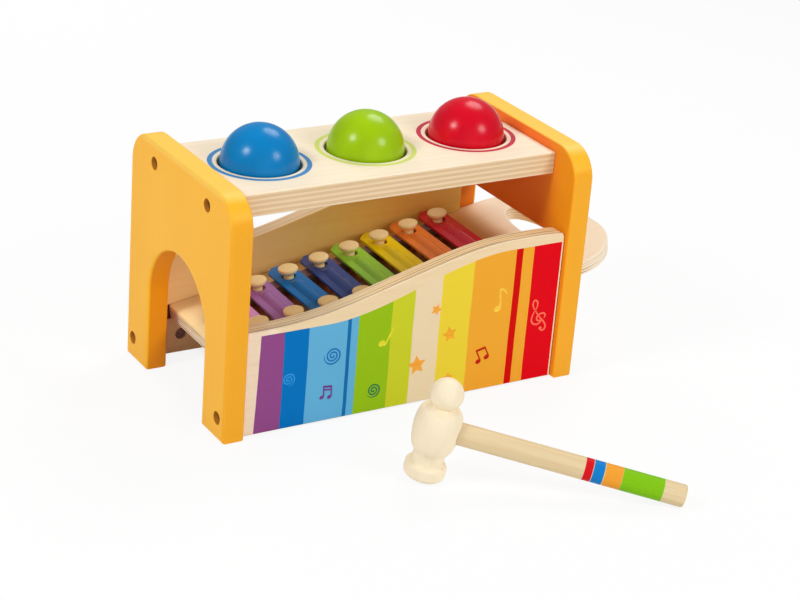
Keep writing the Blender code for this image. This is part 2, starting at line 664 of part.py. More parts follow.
def main():
    for old in list(bpy.data.objects):
        bpy.data.objects.remove(old)
    root = empty("pounding_bench")
    slide = empty("xylophone_slide", root)
    slide.location = (BOARD_LEFT, 0, BOARD_LEFT_HEIGHT)
    slide.rotation_euler = (0, -BOARD_SLOPE, 0)

    paint = material("orange_paint", (250, 185, 70), 0.4)
    birch = material("birch_plywood", (250, 232, 205), 0.5)
    rubber = material("grip_rubber", (60, 58, 55), 0.7)
    steel = material("fastener_steel", (92, 74, 62), 0.4, 1.0)
    felt = material("felt", (222, 205, 175), 0.95)
    peg_wood = material("peg_wood", (222, 185, 135), 0.5)
    head_wood = material("hammer_head_wood", (243, 228, 195), 0.45)
    handle_wood = material("hammer_handle_wood", (235, 212, 170), 0.45)

    bolt_holes = bolt_hole_cutter(root)
    pockets = nut_pocket_cutter(root)
    make_sides(root, paint, bolt_holes)
    make_top_board(root, birch, bolt_holes, pockets)
    make_balls(root, rubber)
    make_panels(root, birch, bolt_holes, pockets, slide)
    make_bolts_and_nuts(root, steel)
    make_board(slide, birch)
    make_rails(slide, birch, felt)
    make_bars_and_pegs(slide, peg_wood)
    make_hammer(root, head_wood, handle_wood)
    centre_on_origin(root)


main()
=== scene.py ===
# %% [markdown]
# # A pounding bench with a slide-out xylophone
#
# The toy is a low wooden bench. A child hammers a ball through a ringed hole in the top board, the ball
# drops on a row of metal bars, plays its way down the slope and leaves through the arch on the left. The
# xylophone also pulls out to the right, and a small turned hammer lies in front.
#
# The packed model gives every piece its place and its joint. This script keeps those places and dresses the
# pieces: finer edges, turned curves, pressed metal, lacquer, wood and print.

# %% Load the frame
import math

import bmesh
import bpy
from mathutils import Matrix, Vector
from mathutils.geometry import tessellate_polygon


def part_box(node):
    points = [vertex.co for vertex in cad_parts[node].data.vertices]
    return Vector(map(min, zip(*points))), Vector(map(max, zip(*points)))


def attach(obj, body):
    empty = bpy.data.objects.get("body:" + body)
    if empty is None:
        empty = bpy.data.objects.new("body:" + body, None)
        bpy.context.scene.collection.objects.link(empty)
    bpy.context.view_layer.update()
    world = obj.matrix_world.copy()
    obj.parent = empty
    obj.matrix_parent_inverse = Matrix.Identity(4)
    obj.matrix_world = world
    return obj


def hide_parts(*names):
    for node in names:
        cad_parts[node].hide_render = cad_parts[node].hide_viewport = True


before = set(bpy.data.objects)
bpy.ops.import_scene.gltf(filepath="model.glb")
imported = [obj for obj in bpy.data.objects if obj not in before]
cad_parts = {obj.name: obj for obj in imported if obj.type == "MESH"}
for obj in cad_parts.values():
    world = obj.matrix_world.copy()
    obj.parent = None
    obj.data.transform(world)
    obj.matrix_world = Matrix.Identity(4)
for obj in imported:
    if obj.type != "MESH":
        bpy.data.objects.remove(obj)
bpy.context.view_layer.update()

# %% [markdown]
# ## Three places to draw in
#
# A maker measures each piece from its own bench mark, not from the corner of the workshop. So lengths below
# are in millimetres, and each piece is drawn in one of three frames: the bench, the sloping xylophone and the
# hammer. The bench's middle is read from the packed sides. A frame is a matrix, so a piece drawn square to
# the slope needs no trigonometry, and a wood grain that follows the piece's own axes comes for free.

# %% Frames
MM = 0.001
SLOPE_ANGLE = math.radians(9.27)
SLOPE_FOOT = (-97.0, 0.0, 32.8)

left_low, left_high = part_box("left_side_panel")
right_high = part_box("right_side_panel")[1]
middle = Vector(((left_low.x + right_high.x) / 2, (left_low.y + left_high.y) / 2, 0))
BENCH = Matrix.Translation(middle)


def at(x, y, z):
    """A shift in millimetres."""
    return Matrix.Translation(Vector((x, y, z)) * MM)


SLOPE_TURN = Matrix.Rotation(-SLOPE_ANGLE, 4, "Y")
SLOPE = BENCH @ at(*SLOPE_FOOT) @ SLOPE_TURN
print("bench middle:", [round(v, 4) for v in middle])

# %% [markdown]
# ## A camera where the photographer stood
#
# The view is a long lens, a little from the left and above, and the camera was held slightly tilted, so
# upright edges lean. The position and the lens were worked out from the bench's corners. The camera's axes
# are built from three angles, because that shows the tilt as one number.

# %% Camera
CAMERA_PLACE = Vector((-0.60778, -1.00097, 0.56412))
AZIMUTH, ELEVATION, ROLL = math.radians(-32.58), math.radians(23.96), math.radians(4.68)
FOCAL_LENGTH, SENSOR_WIDTH = 97.462, 36

back = Vector((
    math.sin(AZIMUTH) * math.cos(ELEVATION),
    -math.cos(AZIMUTH) * math.cos(ELEVATION),
    math.sin(ELEVATION),
))
level = (-back).cross(Vector((0, 0, 1))).normalized()
upright = level.cross(-back)
across = level * math.cos(ROLL) + upright * math.sin(ROLL)
above = upright * math.cos(ROLL) - level * math.sin(ROLL)

lens = bpy.data.cameras.new("photo_camera")
lens.lens = FOCAL_LENGTH
lens.sensor_width = SENSOR_WIDTH
camera = bpy.data.objects.new("photo_camera", lens)
bpy.context.scene.collection.objects.link(camera)
axes = Matrix((across, above, back)).transposed().to_4x4()
camera.matrix_world = Matrix.Translation(middle + CAMERA_PLACE) @ axes
bpy.context.scene.camera = camera
print("camera at", [round(v, 3) for v in camera.matrix_world.translation])

# %% [markdown]
# ## Studio light
#
# The lacquered balls are a map of the studio: each shows a light at the left, one at the front right and a
# soft one overhead, and a pale rim from the white surroundings. Mirror those spots back from the balls and
# the lights stand where they did. Round area lamps act as softboxes. Two weaker ones only fill the shade, so
# they leave no spot on the balls. Each lamp's power comes from how bright its face should look, so a lamp can
# change size and keep its level.

# %% Softboxes
LIGHT_DISTANCE = 1.25
AIM_HEIGHT = 0.09
# Name, direction, width in metres, brightness of its face, and whether polished pieces mirror it.
SOFTBOXES = (
    ("left_softbox", (-0.755, -0.086, 0.653), 0.34, 16.9, True),
    ("front_softbox", (0.368, -0.759, 0.537), 0.42, 8.7, True),
    ("overhead_softbox", (0.481, 0.348, 0.804), 0.62, 4.55, True),
    ("rear_fill", (0.018, 0.924, 0.389), 0.50, 3.4, False),
    ("front_fill", (-0.25, -0.93, 0.24), 1.20, 0.62, False),
)
aim = middle + Vector((0, 0, AIM_HEIGHT))
for name, direction, size, brightness, mirrored in SOFTBOXES:
    lamp = bpy.data.lights.new(name, "AREA")
    lamp.shape = "DISK"
    lamp.size = size
    lamp.energy = brightness * math.pi * size ** 2
    holder = bpy.data.objects.new(name, lamp)
    bpy.context.scene.collection.objects.link(holder)
    holder.location = aim + Vector(direction).normalized() * LIGHT_DISTANCE
    holder.rotation_euler = Vector(direction).to_track_quat("Z", "Y").to_euler()
    holder.visible_glossy = mirrored
    print(name, round(lamp.energy, 2), "W")

# %% [markdown]
# ## Node maths written as Python
#
# A shader is arithmetic on values that change over a surface. Wiring each sum by hand hides the idea, so one
# small class wraps a node's output: Python's operators on it add Math nodes, or Vector Math nodes where a
# colour or vector is in the sum. `node` makes any other node: its type, its settings, then what goes into its
# sockets.

# %% One wrapped socket
class Value:
    """A node's output. Maths on it adds nodes to the tree in Value.tree."""

    tree = None

    def __init__(self, socket):
        self.socket = socket

    @staticmethod
    def plug(socket, value):
        if isinstance(value, Value):
            Value.tree.links.new(value.socket, socket)
        else:
            socket.default_value = value

    @staticmethod
    def node(kind, settings=None, inputs=None, output=0):
        made = Value.tree.nodes.new("ShaderNode" + kind)
        for key, value in (settings or {}).items():
            if key == "stops":
                for place, colour in value[1:-1]:
                    made.color_ramp.elements.new(place)
                for stop, (place, colour) in zip(made.color_ramp.elements, value):
                    stop.position = place
                    stop.color = colour
            elif key == "ramp":
                made.color_ramp.interpolation = value
            else:
                setattr(made, key, value)
        for key, value in (inputs or {}).items():
            Value.plug(made.inputs[key], value)
        return Value(made.outputs[output])

    def math(self, operation, *others):
        parts = [self, *others]
        kinds = [part.socket.type for part in parts if isinstance(part, Value)]
        if all(kind == "VALUE" for kind in kinds):
            return Value.node("Math", {"operation": operation}, dict(enumerate(parts)))
        wide = [(part,) * 3 if isinstance(part, (int, float)) else part for part in parts]
        return Value.node("VectorMath", {"operation": operation}, dict(enumerate(wide)))

    def length(self):
        return Value.node("VectorMath", {"operation": "LENGTH"}, {0: self}, "Value")

    def __add__(self, other):
        return self.math("ADD", other)

    def __mul__(self, other):
        return self.math("MULTIPLY", other)

    __radd__, __rmul__ = __add__, __mul__

    def __sub__(self, other):
        return self.math("SUBTRACT", other)

    def __rsub__(self, other):
        return self * -1 + other

    def __abs__(self):
        return self.math("ABSOLUTE")

    def __gt__(self, other):
        return self.math("GREATER_THAN", other)

    def __lt__(self, other):
        return self.math("LESS_THAN", other)

    def axis(self, name):
        return Value.node("SeparateXYZ", None, {0: self}, "XYZ".index(name))

    def ease(self, low, high):
        """0 below low, 1 above high and a smooth step between."""
        ends = {0: self, 1: low, 2: high, 3: 0.0, 4: 1.0}
        return Value.node("MapRange", {"interpolation_type": "SMOOTHSTEP"}, ends)

    def mix(self, colour, other):
        """The first colour where this value is 0, the other where it is 1."""
        return Value.node("Mix", {"data_type": "RGBA"}, {0: self, 6: colour, 7: other}, 2)


print("reflected operators:", [n for n in vars(Value) if n.startswith("__r")])

# %% [markdown]
# ## Finishes from a few words
#
# A finish is a Principled shader. Values that are the same all over are set on its sockets, and only what
# changes over the surface gets nodes: colour, roughness and relief, which `coat` gathers. Positions come in
# millimetres along the piece's own axes, so a noise of one cycle per millimetre really is that fine, and
# stretching it along one axis turns it into wood grain.

# %% Finish helpers
def screen(red, green, blue):
    """A colour as a paint chart or screen gives it, turned into linear light."""
    shares = [c / 255 for c in (red, green, blue)]
    return (*(s / 12.92 if s <= 0.04045 else ((s + 0.055) / 1.055) ** 2.4 for s in shares), 1.0)


def toned(colour, share, lift=0.0):
    """The same colour, darker or lighter."""
    return (*(min(1.0, c * share + lift) for c in colour[:3]), 1.0)


def where():
    """The place on the piece, in millimetres along its own axes."""
    return Value.node("TexCoord", None, None, "Object") * (1 / MM)


def noise(here, stretch, detail=2.0, rough=0.5, seed=0.0):
    """Soft random values around a half; stretch is the number of cycles per millimetre along each axis."""
    shifted = here * stretch + (seed, seed * 0.7, seed * 1.3)
    inputs = {"Vector": shifted, "Scale": 1.0, "Detail": detail, "Roughness": rough}
    return Value.node("TexNoise", None, inputs, "Fac")


def coat(colour, roughness, height=None, depth=0.0):
    """What varies over a surface; height raises it by up to depth millimetres."""
    found = {"Base Color": colour, "Roughness": roughness}
    if depth:
        relief = {"Strength": 1.0, "Distance": depth * MM, "Height": height}
        found["Normal"] = Value.node("Bump", None, relief)
    return found


def finish(name, surface, **fixed):
    """A material: fixed shader values, and the varying ones that surface() returns."""
    made = bpy.data.materials.new(name)
    made.use_nodes = True
    Value.tree = made.node_tree
    shader = made.node_tree.nodes["Principled BSDF"]
    for key, value in fixed.items():
        shader.inputs[key.replace("_", " ").title().replace("Ior", "IOR")].default_value = value
    for key, value in surface().items():
        Value.plug(shader.inputs[key], value)
    return made


print("cream is", [round(c, 2) for c in screen(250, 232, 205)])

# %% [markdown]
# ## Birch plywood
#
# The top, the panels and the xylophone board are birch plywood. Its faces are pale with long faint streaks
# and short dark flecks. Its edges show the plies: every other layer is end grain, which is darker, and glue
# lines run between. One rule gives both: the colour depends on which ply a point lies in, and a face is just
# the outermost ply. A hole drilled through the board then shows its layers as well, with nothing painted by
# hand.

# %% Plywood
CREAM = screen(252, 237, 212)
STREAK = screen(240, 214, 172)
EDGE = screen(229, 197, 150)
END_GRAIN = screen(210, 174, 124)
GLUE = screen(98, 62, 32)
LONG_GRAIN = (0.006, 0.30, 0.30)
WOOD_SHINE = 0.3


def birch(here):
    """Birch with its grain along X: the colour, and a height for the pores."""
    drift = noise(here, (0.004, 0.022, 0.022), 2, seed=3)
    streaks = noise(here + drift * 6, LONG_GRAIN, 4, 0.6)
    flecks = noise(here, (0.12, 1.9, 1.9), 1, seed=9).ease(0.66, 0.80)
    tone = streaks.ease(0.36, 0.80) * 0.34 + drift * 0.26
    return (flecks * 0.20).mix(tone.mix(CREAM, STREAK), END_GRAIN), streaks - flecks * 0.6


def plies(here, axis, low, high, count, edge, tan, lines, front=0.0, rim=EDGE):
    """Birch whose plies are stacked along one axis: the colour, and a height for the pores.

    edge, tan and lines say how strongly sawn edges, crossed plies and glue show. front marks the
    seam behind the first veneer, and rim is the colour of a sawn edge.
    """
    colour, pores = birch(here)
    layer = (here.axis(axis) - low) * (count / (high - low))
    depth = count / 2 - abs(layer - count / 2)
    sawn = depth.ease(0.25, 0.7)
    crossed = (layer * 0.5).math("FRACT").ease(0.42, 0.58) * sawn
    fine, broad = (tuple(a if name == axis else b for name in "XYZ") for a, b in ((1.6, 0.05), (0.5, 0.016)))
    streaks = noise(here, fine, 3, 0.6, seed=5).ease(0.3, 0.75)
    wood = (sawn * (0.75 + 0.25 * streaks) * edge).mix(colour, rim)
    wood = (crossed * (0.8 + 0.2 * streaks) * tan).mix(wood, END_GRAIN)
    seam = 1 - abs(layer - layer.math("ROUND")).ease(0.05, 0.17)
    patchy = noise(here, broad, 2, seed=12).ease(0.42, 0.62)
    glue = seam * sawn * (0.12 + 0.88 * patchy) * lines
    veneer = (1 - abs(layer - 0.48).ease(0.10, 0.24)) * front
    return (glue + veneer).math("MINIMUM", 1.0).mix(wood, GLUE), pores


def plywood(name, axis, low, high, count, shares, shade_tint):
    """A plywood finish. shares are edge, tan and lines of plies(); the last argument tints the wood with
    painted shade and bounce light.
    """
    def surface():
        here = where()
        colour, pores = plies(here, axis, low, high, count, *shares)
        return coat(shade_tint(here, colour), 0.40 + 0.14 * pores, pores, 0.03)

    return finish(name, surface, specular_ior_level=WOOD_SHINE)


print("glue is", [round(c, 2) for c in GLUE])

# %% [markdown]
# ## Painted shade and bounce light inside the bench
#
# Inside, little of the wood looks pale: shade falls there, and the orange sides throw warm light onto it.
# Both are painted into the wood. The rear panel's inner face gets a painted warm gold, with painted shade
# below the board and in the groove for it. The board gets painted shade, red brown, under the bars and round
# the opening, and a painted golden light beside the last bar. The rails are painted dark for the same shade.
# Painted light has no edge of its own, so each tone is a tint that the plywood finish is multiplied by or
# mixed with, with masks from places on the piece.

# %% Painted shade and bounce light
PANEL_INNER, PANEL_OUTER = 50.5, 61.0
BOARD_THICKNESS = 9.0
RAIL_LOW, RAIL_HIGH = 0.3, 4.8
# How much the rows of pegs spread per millimetre, and where the painted shade under the bars fades in and
# out.
ROW_TAPER = 0.0775
BED_START, BED_END = (15, 17), (181, 183)
# Painted light and shade: the groove tint and the low tint are painted shade, the golds are painted warm
# light thrown back from the orange sides, and the dark browns are painted shade on the rails and under the
# bars.
PLAIN_TINT, GROOVE_SHADE = (0.95, 0.88, 0.78, 1.0), (0.34, 0.2, 0.14, 1.0)
LEFT_BOUNCE, RIGHT_BOUNCE, LOW_SHADE = (1.0, 0.80, 0.46, 1.0), (1.0, 0.77, 0.23, 1.0), (0.80, 0.52, 0.32, 1.0)
PALE_BOUNCE, DEEP_BOUNCE = (1.0, 0.93, 0.64, 1.0), (0.90, 0.58, 0.22, 1.0)
RAIL_SHADE, BED_SHADE = screen(104, 54, 36), screen(172, 98, 54)


def shade_and_bounce_inside(here, colour):
    """The rear panel: painted warm light from the orange sides on its inner face, painted shade below the
    board and in the groove.
    """
    x, y, z = (here.axis(a) for a in "XYZ")
    over_board = z - SLOPE_FOOT[2] - (x - SLOPE_FOOT[0]) * math.tan(SLOPE_ANGLE)
    # Painted shade in the groove and below the board, and painted warm light from the orange sides on the
    # inner face.
    groove = (over_board < 0.5) * (over_board > -0.7 - BOARD_THICKNESS) * (abs(y - 54.0) < 3.1)
    face = 1 - y.ease(PANEL_INNER + 0.2, PANEL_INNER + 0.8)
    gold = over_board.ease(-6, -2).mix(LOW_SHADE, x.ease(-80, 70).mix(LEFT_BOUNCE, RIGHT_BOUNCE))
    return colour * groove.mix(face.mix(PLAIN_TINT, gold), GROOVE_SHADE)


def under_bars(here, colour):
    """The board: painted shade, red brown, under the bars and round the opening, and painted warm light,
    golden, inside the bench and deepest beside the last bar; paler again towards the grip.
    """
    x, y, z = (here.axis(a) for a in "XYZ")
    from_row = abs(y) - x * ROW_TAPER
    # Painted shade, red brown, on the opening's walls and under the bars; painted warm light, gold, inside
    # the bench.
    wall = (from_row < 11.6) * (z < -0.6) * (abs(x - 100) < 86)
    bed = (from_row < 24.0) * x.ease(*BED_START) * (1 - x.ease(*BED_END)) * (z > -0.6)
    gold = x.ease(20, 150).mix(PALE_BOUNCE, DEEP_BOUNCE)
    shown = (1 - x.ease(188, 226)) * (z > -1.5)
    colour = (x.ease(214, 240) * 0.6).mix(shown.mix(colour, colour * gold), CREAM)
    return (wall + bed).mix(colour, BED_SHADE)


def shaded_rail(here, colour):
    """The rails are darkened all over with painted shade, as between the bars."""
    return (0.85 + 0.1 * noise(here, LONG_GRAIN, 2)).mix(colour, RAIL_SHADE)


# The tints paint shade and bounce light into the back panel, the board and the rails.
back_ply = plywood("birch_back_panel", "Y", PANEL_INNER, PANEL_OUTER, 5, (0.5, 0.3, 0.25), shade_and_bounce_inside)
tray_ply = plywood("birch_xylophone_board", "Z", -BOARD_THICKNESS, 0.0, 5, (0.2, 0.2, 3.0), under_bars)
rail_ply = plywood("birch_rail", "Z", RAIL_LOW, RAIL_HIGH, 3, (0.4, 0.4, 0.3), shaded_rail)
print("plywood finishes:", back_ply.name, tray_ply.name, rail_ply.name)

# %% [markdown]
# ## Print on wood
#
# The top board has a thin coloured ring round each hole, and the front panel wears broad upright stripes from
# purple to red under a wavy upper border. Screen ink on wood has no thickness to speak of, so both are colour
# masks inside the plywood finish. A ring is a band of distances from a hole's centre. The stripes are a ramp
# along X with hard stops, and a smooth step gives the wavy border. The inks cover well, so hardly any grain
# shows through them.

# %% Rings on the top board
BALL_PITCH = 68.3
TOP_HEIGHT = 137.3
TOP_THICKNESS = 13.6
RING_MIDDLE, RING_WIDTH, RING_BLUR = 28.05, 2.8, 0.12
BALLS = (
    ("blue", -BALL_PITCH, screen(0, 130, 198), screen(56, 136, 194)),
    ("green", 0.0, screen(162, 203, 4), screen(212, 222, 110)),
    ("red", BALL_PITCH, screen(222, 0, 36), screen(198, 30, 66)),
)


def ringed_top():
    """The top board's plies, and a printed ring round each hole."""
    here = where()
    colour, pores = plies(here, "Z", TOP_HEIGHT - TOP_THICKNESS, TOP_HEIGHT, 9, 0.72, 0.6, 0.12)
    on_top = here.axis("Z") > TOP_HEIGHT - 0.4
    for name, x, paint, ink in BALLS:
        reach = (here * (1, 1, 0) - (x, 0, 0)).length()
        ring = 1 - abs(reach - RING_MIDDLE).ease(RING_WIDTH / 2 - RING_BLUR, RING_WIDTH / 2 + RING_BLUR)
        colour = (ring * on_top * (0.96 + 0.06 * pores)).mix(colour, ink)
    return coat(colour, 0.40 + 0.14 * pores, pores, 0.03)


top_ply = finish("birch_top_ringed", ringed_top, specular_ior_level=WOOD_SHINE)
print("rings:", [b[0] for b in BALLS])

# %% Stripes on the front panel
PRINT_LEFT, PRINT_RIGHT = -95.5, 101.9
PRINT_LOW, PRINT_RISE = 60.9, 27.0
INK_SHINE = 0.05
STRIPES = (
    (-95.5, screen(147, 76, 138)),
    (-80.3, screen(0, 116, 192)),
    (-64.9, screen(100, 178, 220)),
    (-40.3, screen(20, 110, 178)),
    (-38.1, screen(100, 178, 220)),
    (-33.3, screen(152, 194, 22)),
    (-11.9, screen(205, 210, 42)),
    (2.8, screen(240, 218, 180)),
    (20.3, screen(240, 213, 58)),
    (41.1, screen(243, 170, 50)),
    (70.2, screen(212, 4, 2)),
    (74.6, screen(243, 170, 50)),
    (82.0, screen(226, 0, 20)),
)
# Painted light: the sawn edge is paler at the left, where it lies in shade.
LIT_LEFT_RIM, RIGHT_RIM = screen(255, 238, 192), screen(248, 212, 154)
LEFT_MARGIN, UPPER_MARGIN = (0.95, 0.89, 0.87), (0.92, 0.84, 0.70)


def striped_front():
    """The front panel's plies, its printed stripes, the wood slightly darker at its left end and yellower
    above the print, and painted light on the left of its sawn edge.
    """
    here = where()
    x, y, z = (here.axis(a) for a in "XYZ")
    # Painted light: the sawn edge is paler and its glue lines fainter towards the left.
    rim = x.ease(-60, 10).mix(LIT_LEFT_RIM, RIGHT_RIM)
    lines = 0.6 + 0.6 * x.ease(-50, 20)
    colour, pores = plies(here, "Y", -PANEL_OUTER, -PANEL_INNER, 5, 0.9, 0.1, lines, 0.6, rim)
    colour = (1 - x.ease(-92, -86)).mix(colour, colour * LEFT_MARGIN)
    hand_cut = noise(here, (0.02, 0.0, 0.035), 2, seed=21) - 0.5
    lean = (z - 31) * 0.034 * (1 - x.ease(-92, -80))
    along = x - lean + hand_cut * 1.1
    span = PRINT_RIGHT - PRINT_LEFT
    stops = [((start - PRINT_LEFT) / span, ink) for start, ink in STRIPES]
    share = (along - PRINT_LEFT) * (1 / span)
    inks = Value.node("ValToRGB", {"ramp": "CONSTANT", "stops": stops}, {0: share})
    border = PRINT_LOW + PRINT_RISE * x.ease(-53, 67) + hand_cut * 0.6
    inside = (along > PRINT_LEFT) * (x < PRINT_RIGHT) * (z < border) * (y < 0.15 - PANEL_OUTER)
    strip = (y < 0.4 - PANEL_OUTER) * (z > border) * x.ease(-90, -80)
    colour = inside.mix(strip.mix(colour, colour * UPPER_MARGIN), inks)
    return coat(colour, 0.40 + 0.10 * pores, pores, 0.012)


front_ply = finish("birch_front_striped", striped_front, specular_ior_level=INK_SHINE)
print("stripes:", len(STRIPES))

# %% [markdown]
# ## Paint, lacquer, enamel and plain wood
#
# The sides are wood under satin orange paint: the grain still shows as faint upright streaks. Shade is
# painted
# into the orange: it is deeper on the front faces, on the walls of the arch, the slot and the bolt holes, and
# on the inner faces, and painted light makes it lighter along the top. The balls have a glossy lacquer with a
# barely uneven skin. The bars are metal under satin enamel. Pegs and hammer are plain turned wood. Each is
# the
# same recipe with other numbers: a tone that drifts, a grain that is stretched along the wood, and a
# roughness that is never quite even.

# %% Paint and lacquer
LENGTH_HALF = 117.0
INNER_HALF = 103.6
BOLT_SPOTS = (("top", 33.5, 130.5), ("low", 55.75, 12.8))
ORANGE, ORANGE_DRIFT = screen(255, 190, 46), screen(252, 182, 38)
# Painted shade on the front faces, the arch and slot walls, the inner faces and the bolt holes; painted light
# along the top.
FRONT_SHADE_ORANGE, TOP_LIT_ORANGE = screen(244, 168, 34), screen(255, 212, 98)
ARCH_SHADE_ORANGE, SLOT_SHADE_ORANGE = screen(244, 150, 14), screen(238, 132, 34)
INNER_LIT_STRIP, INNER_DEEP_SHADE = screen(246, 152, 20), screen(248, 124, 42)
HOLE_WALL_SHADE = screen(214, 140, 52)


def orange_paint():
    here = where()
    x, y, z = (here.axis(a) for a in "XYZ")
    depth = abs(x)
    drift = noise(here, (0.012, 0.012, 0.008), 2, seed=2)
    streaks = noise(here, (0.5, 0.5, 0.012), 3, 0.6, seed=4)
    skin = noise(here, (1.6, 1.6, 1.6), 2, seed=6)
    tone = drift.ease(0.3, 0.7) * 0.7 + streaks.ease(0.35, 0.75) * 0.3
    colour = tone.mix(ORANGE, ORANGE_DRIFT)
    behind_face = 1 - depth.ease(LENGTH_HALF - 2.0, LENGTH_HALF - 0.8)
    # Each place paints shade as a deeper orange, or painted light along the top as a paler one.
    places = [
        ((1 - y.ease(-63.4, -61.6)) * 0.8, FRONT_SHADE_ORANGE),
        (z.ease(138.5, 142.5) * 0.7, TOP_LIT_ORANGE),
        (behind_face * (1 - abs(y).ease(38.5, 42.0)) * (1 - z.ease(89.0, 92.0)), ARCH_SHADE_ORANGE),
        (behind_face * (x > 0) * (abs(y) < 56) * (z < 100), SLOT_SHADE_ORANGE),
        (1 - depth.ease(INNER_HALF, INNER_HALF + 1.0), y.ease(-56, -28).mix(INNER_LIT_STRIP, INNER_DEEP_SHADE)),
    ]
    # Painted shade in the bolt holes.
    for row, across_side, up in BOLT_SPOTS:
        reach = (abs(here) * (0, 1, 1) - (0, across_side, up)).length()
        places.append(((reach < 4.6) * (depth < LENGTH_HALF - 0.1), HOLE_WALL_SHADE))
    for mask, paint in places:
        colour = mask.mix(colour, paint)
    return coat(colour, 0.36 + 0.12 * skin, streaks * 0.7 + skin * 0.3, 0.012)


def lacquer(name, paint):
    """A ball's glossy lacquer."""
    def surface():
        here = where()
        skin = noise(here, (0.35, 0.35, 0.35), 2, seed=7)
        drift = noise(here, (0.05, 0.05, 0.02), 2, seed=8)
        return coat(drift.ease(0.35, 0.7).mix(paint, toned(paint, 0.86)), 0.21 + 0.05 * skin, skin, 0.008)

    return finish(name, surface, specular_ior_level=0.25)


side_paint = finish("satin_orange_paint", orange_paint, specular_ior_level=0.18)
ball_paint = {name: lacquer(f"lacquer_{name}", paint) for name, x, paint, ink in BALLS}
print("painted:", side_paint.name, *[m.name for m in ball_paint.values()])

# %% Enamel, steel, rubber and felt
def enamel(name, paint):
    """A bar's satin enamel, with a trace of flake."""
    def surface():
        here = where()
        flake = noise(here, (5.0, 5.0, 5.0), 1, seed=11)
        haze = noise(here, (0.10, 0.03, 0.10), 2, 0.5, seed=13)
        tone = haze.ease(0.35, 0.75) * 0.6 + flake * 0.2
        return coat(tone.mix(paint, toned(paint, 0.95)), 0.20 + 0.10 * haze, flake, 0.002)

    return finish(name, surface, specular_ior_level=0.42)


def mottled(name, grain, span, tones, rough, depth=0.0, **fixed):
    """A finish from one noise, which moves the tone, the roughness and the relief together.

    grain is what noise() takes after the place; span is where the tone turns from one to the other.
    """
    def surface():
        spots = noise(where(), *grain)
        return coat(spots.ease(*span).mix(*tones), rough[0] + rough[1] * spots, spots, depth)

    return finish(name, surface, **fixed)


steel_finish = mottled("dark_plated_steel", ((0.6, 0.6, 0.6), 3, 0.6, 14), (0.4, 0.75),
                       (screen(104, 66, 56), screen(66, 42, 38)), (0.34, 0.2), metallic=1.0)
rubber_finish = mottled("grip_rubber", ((0.9, 0.9, 0.9), 3, 0.6, 15), (0.4, 0.8),
                        (screen(52, 49, 47), screen(84, 80, 76)), (0.62, 0.2), 0.05)
# Painted shade: the felt is made a dark maroon for the shade between the bars.
felt_shade_finish = mottled("felt", ((1.2, 3.4, 3.4), 4, 0.7, 16), (0.3, 0.7),
                      (screen(96, 46, 34), screen(124, 66, 50)), (0.9, 0.1), 0.25,
                      sheen_weight=0.4, sheen_roughness=0.5)
print("small parts:", steel_finish.name, rubber_finish.name, felt_shade_finish.name)

# %% Turned wood
BAND_BLUR = 0.1


def turned_wood(name, pale, dark, stretch, depth=0.02, shine=WOOD_SHINE, bands=()):
    """Plain turned wood; bands are painted lengths along X as (start, end, colour)."""
    def surface():
        here = where()
        drift = noise(here, tuple(s * 0.12 for s in stretch), 2, seed=17)
        grain = noise(here + drift * 3, stretch, 4, 0.62, seed=18)
        colour = (grain.ease(0.35, 0.75) * 0.7 + drift * 0.3).mix(pale, dark)
        for start, end, paint in bands:
            x = here.axis("X")
            begun = x.ease(start - BAND_BLUR, start + BAND_BLUR)
            over = x.ease(end - BAND_BLUR, end + BAND_BLUR)
            colour = (begun * (1 - over) * (0.985 + 0.02 * grain)).mix(colour, paint)
        return coat(colour, 0.42 + 0.14 * grain, grain, depth)

    return finish(name, surface, specular_ior_level=shine)


BANDS = (
    (81.9, 86.3, screen(214, 4, 26)),
    (86.6, 92.6, screen(0, 124, 200)),
    (93.0, 102.7, screen(238, 158, 48)),
    (102.8, 125.8, screen(126, 192, 10)),
)
peg_wood = turned_wood("beech_peg", screen(255, 230, 166), screen(250, 211, 142), (0.9, 0.9, 0.12))
head_wood = turned_wood(
    "maple_head", screen(249, 235, 205), screen(245, 227, 191), (0.22, 0.22, 0.02), 0.012,
)
handle_wood = turned_wood(
    "maple_handle", screen(230, 208, 166), screen(216, 188, 142), (0.012, 0.5, 0.5), 0.02, 0.1, BANDS,
)
print("bands on the handle:", len(BANDS))

# %% [markdown]
# ## Boards with softened edges
#
# Every flat piece starts as an outline on sheet stock. After sawing, a router runs round each edge, holes
# included. `slab` does the same: it steps each outline inwards along a quarter circle at both faces and
# closes the faces with triangles. A bevel modifier could soften the edges too, but it stumbles on dense
# curves, and here the corner of a hole and the corner of the outline come out alike.

# %% Outlines
def arc(centre, radius, start, end, steps=24):
    """Points on an arc, in degrees, both ends included."""
    found = []
    for i in range(steps + 1):
        turn = math.radians(start + (end - start) * i / steps)
        found.append((centre[0] + radius * math.cos(turn), centre[1] + radius * math.sin(turn)))
    return found


def ring(centre, radius, steps, turn=-360):
    """A full circle, clockwise as a hole needs it; turn 360 goes the other way round."""
    return arc(centre, radius, 0, turn, steps)[:-1]


def rounded(corners):
    """An outline of quarter arcs, counter-clockwise; a corner is (centre, radius, start, steps)."""
    found = []
    for centre, radius, start, steps in corners:
        found += arc(centre, radius, start, start + 90, steps)
    return found


def inward(loop):
    """At each point, the step that moves both its edges inwards by one."""
    found = []
    for i, here in enumerate(loop):
        before = (Vector(here) - Vector(loop[i - 1])).normalized()
        after = (Vector(loop[(i + 1) % len(loop)]) - Vector(here)).normalized()
        side = Vector((-before.y, before.x))
        both = (side + Vector((-after.y, after.x))).normalized()
        found.append(both / max(both.dot(side), 0.3))
    return found


print("a square steps in by", [tuple(step) for step in inward([(0, 0), (1, 0), (1, 1), (0, 1)])])

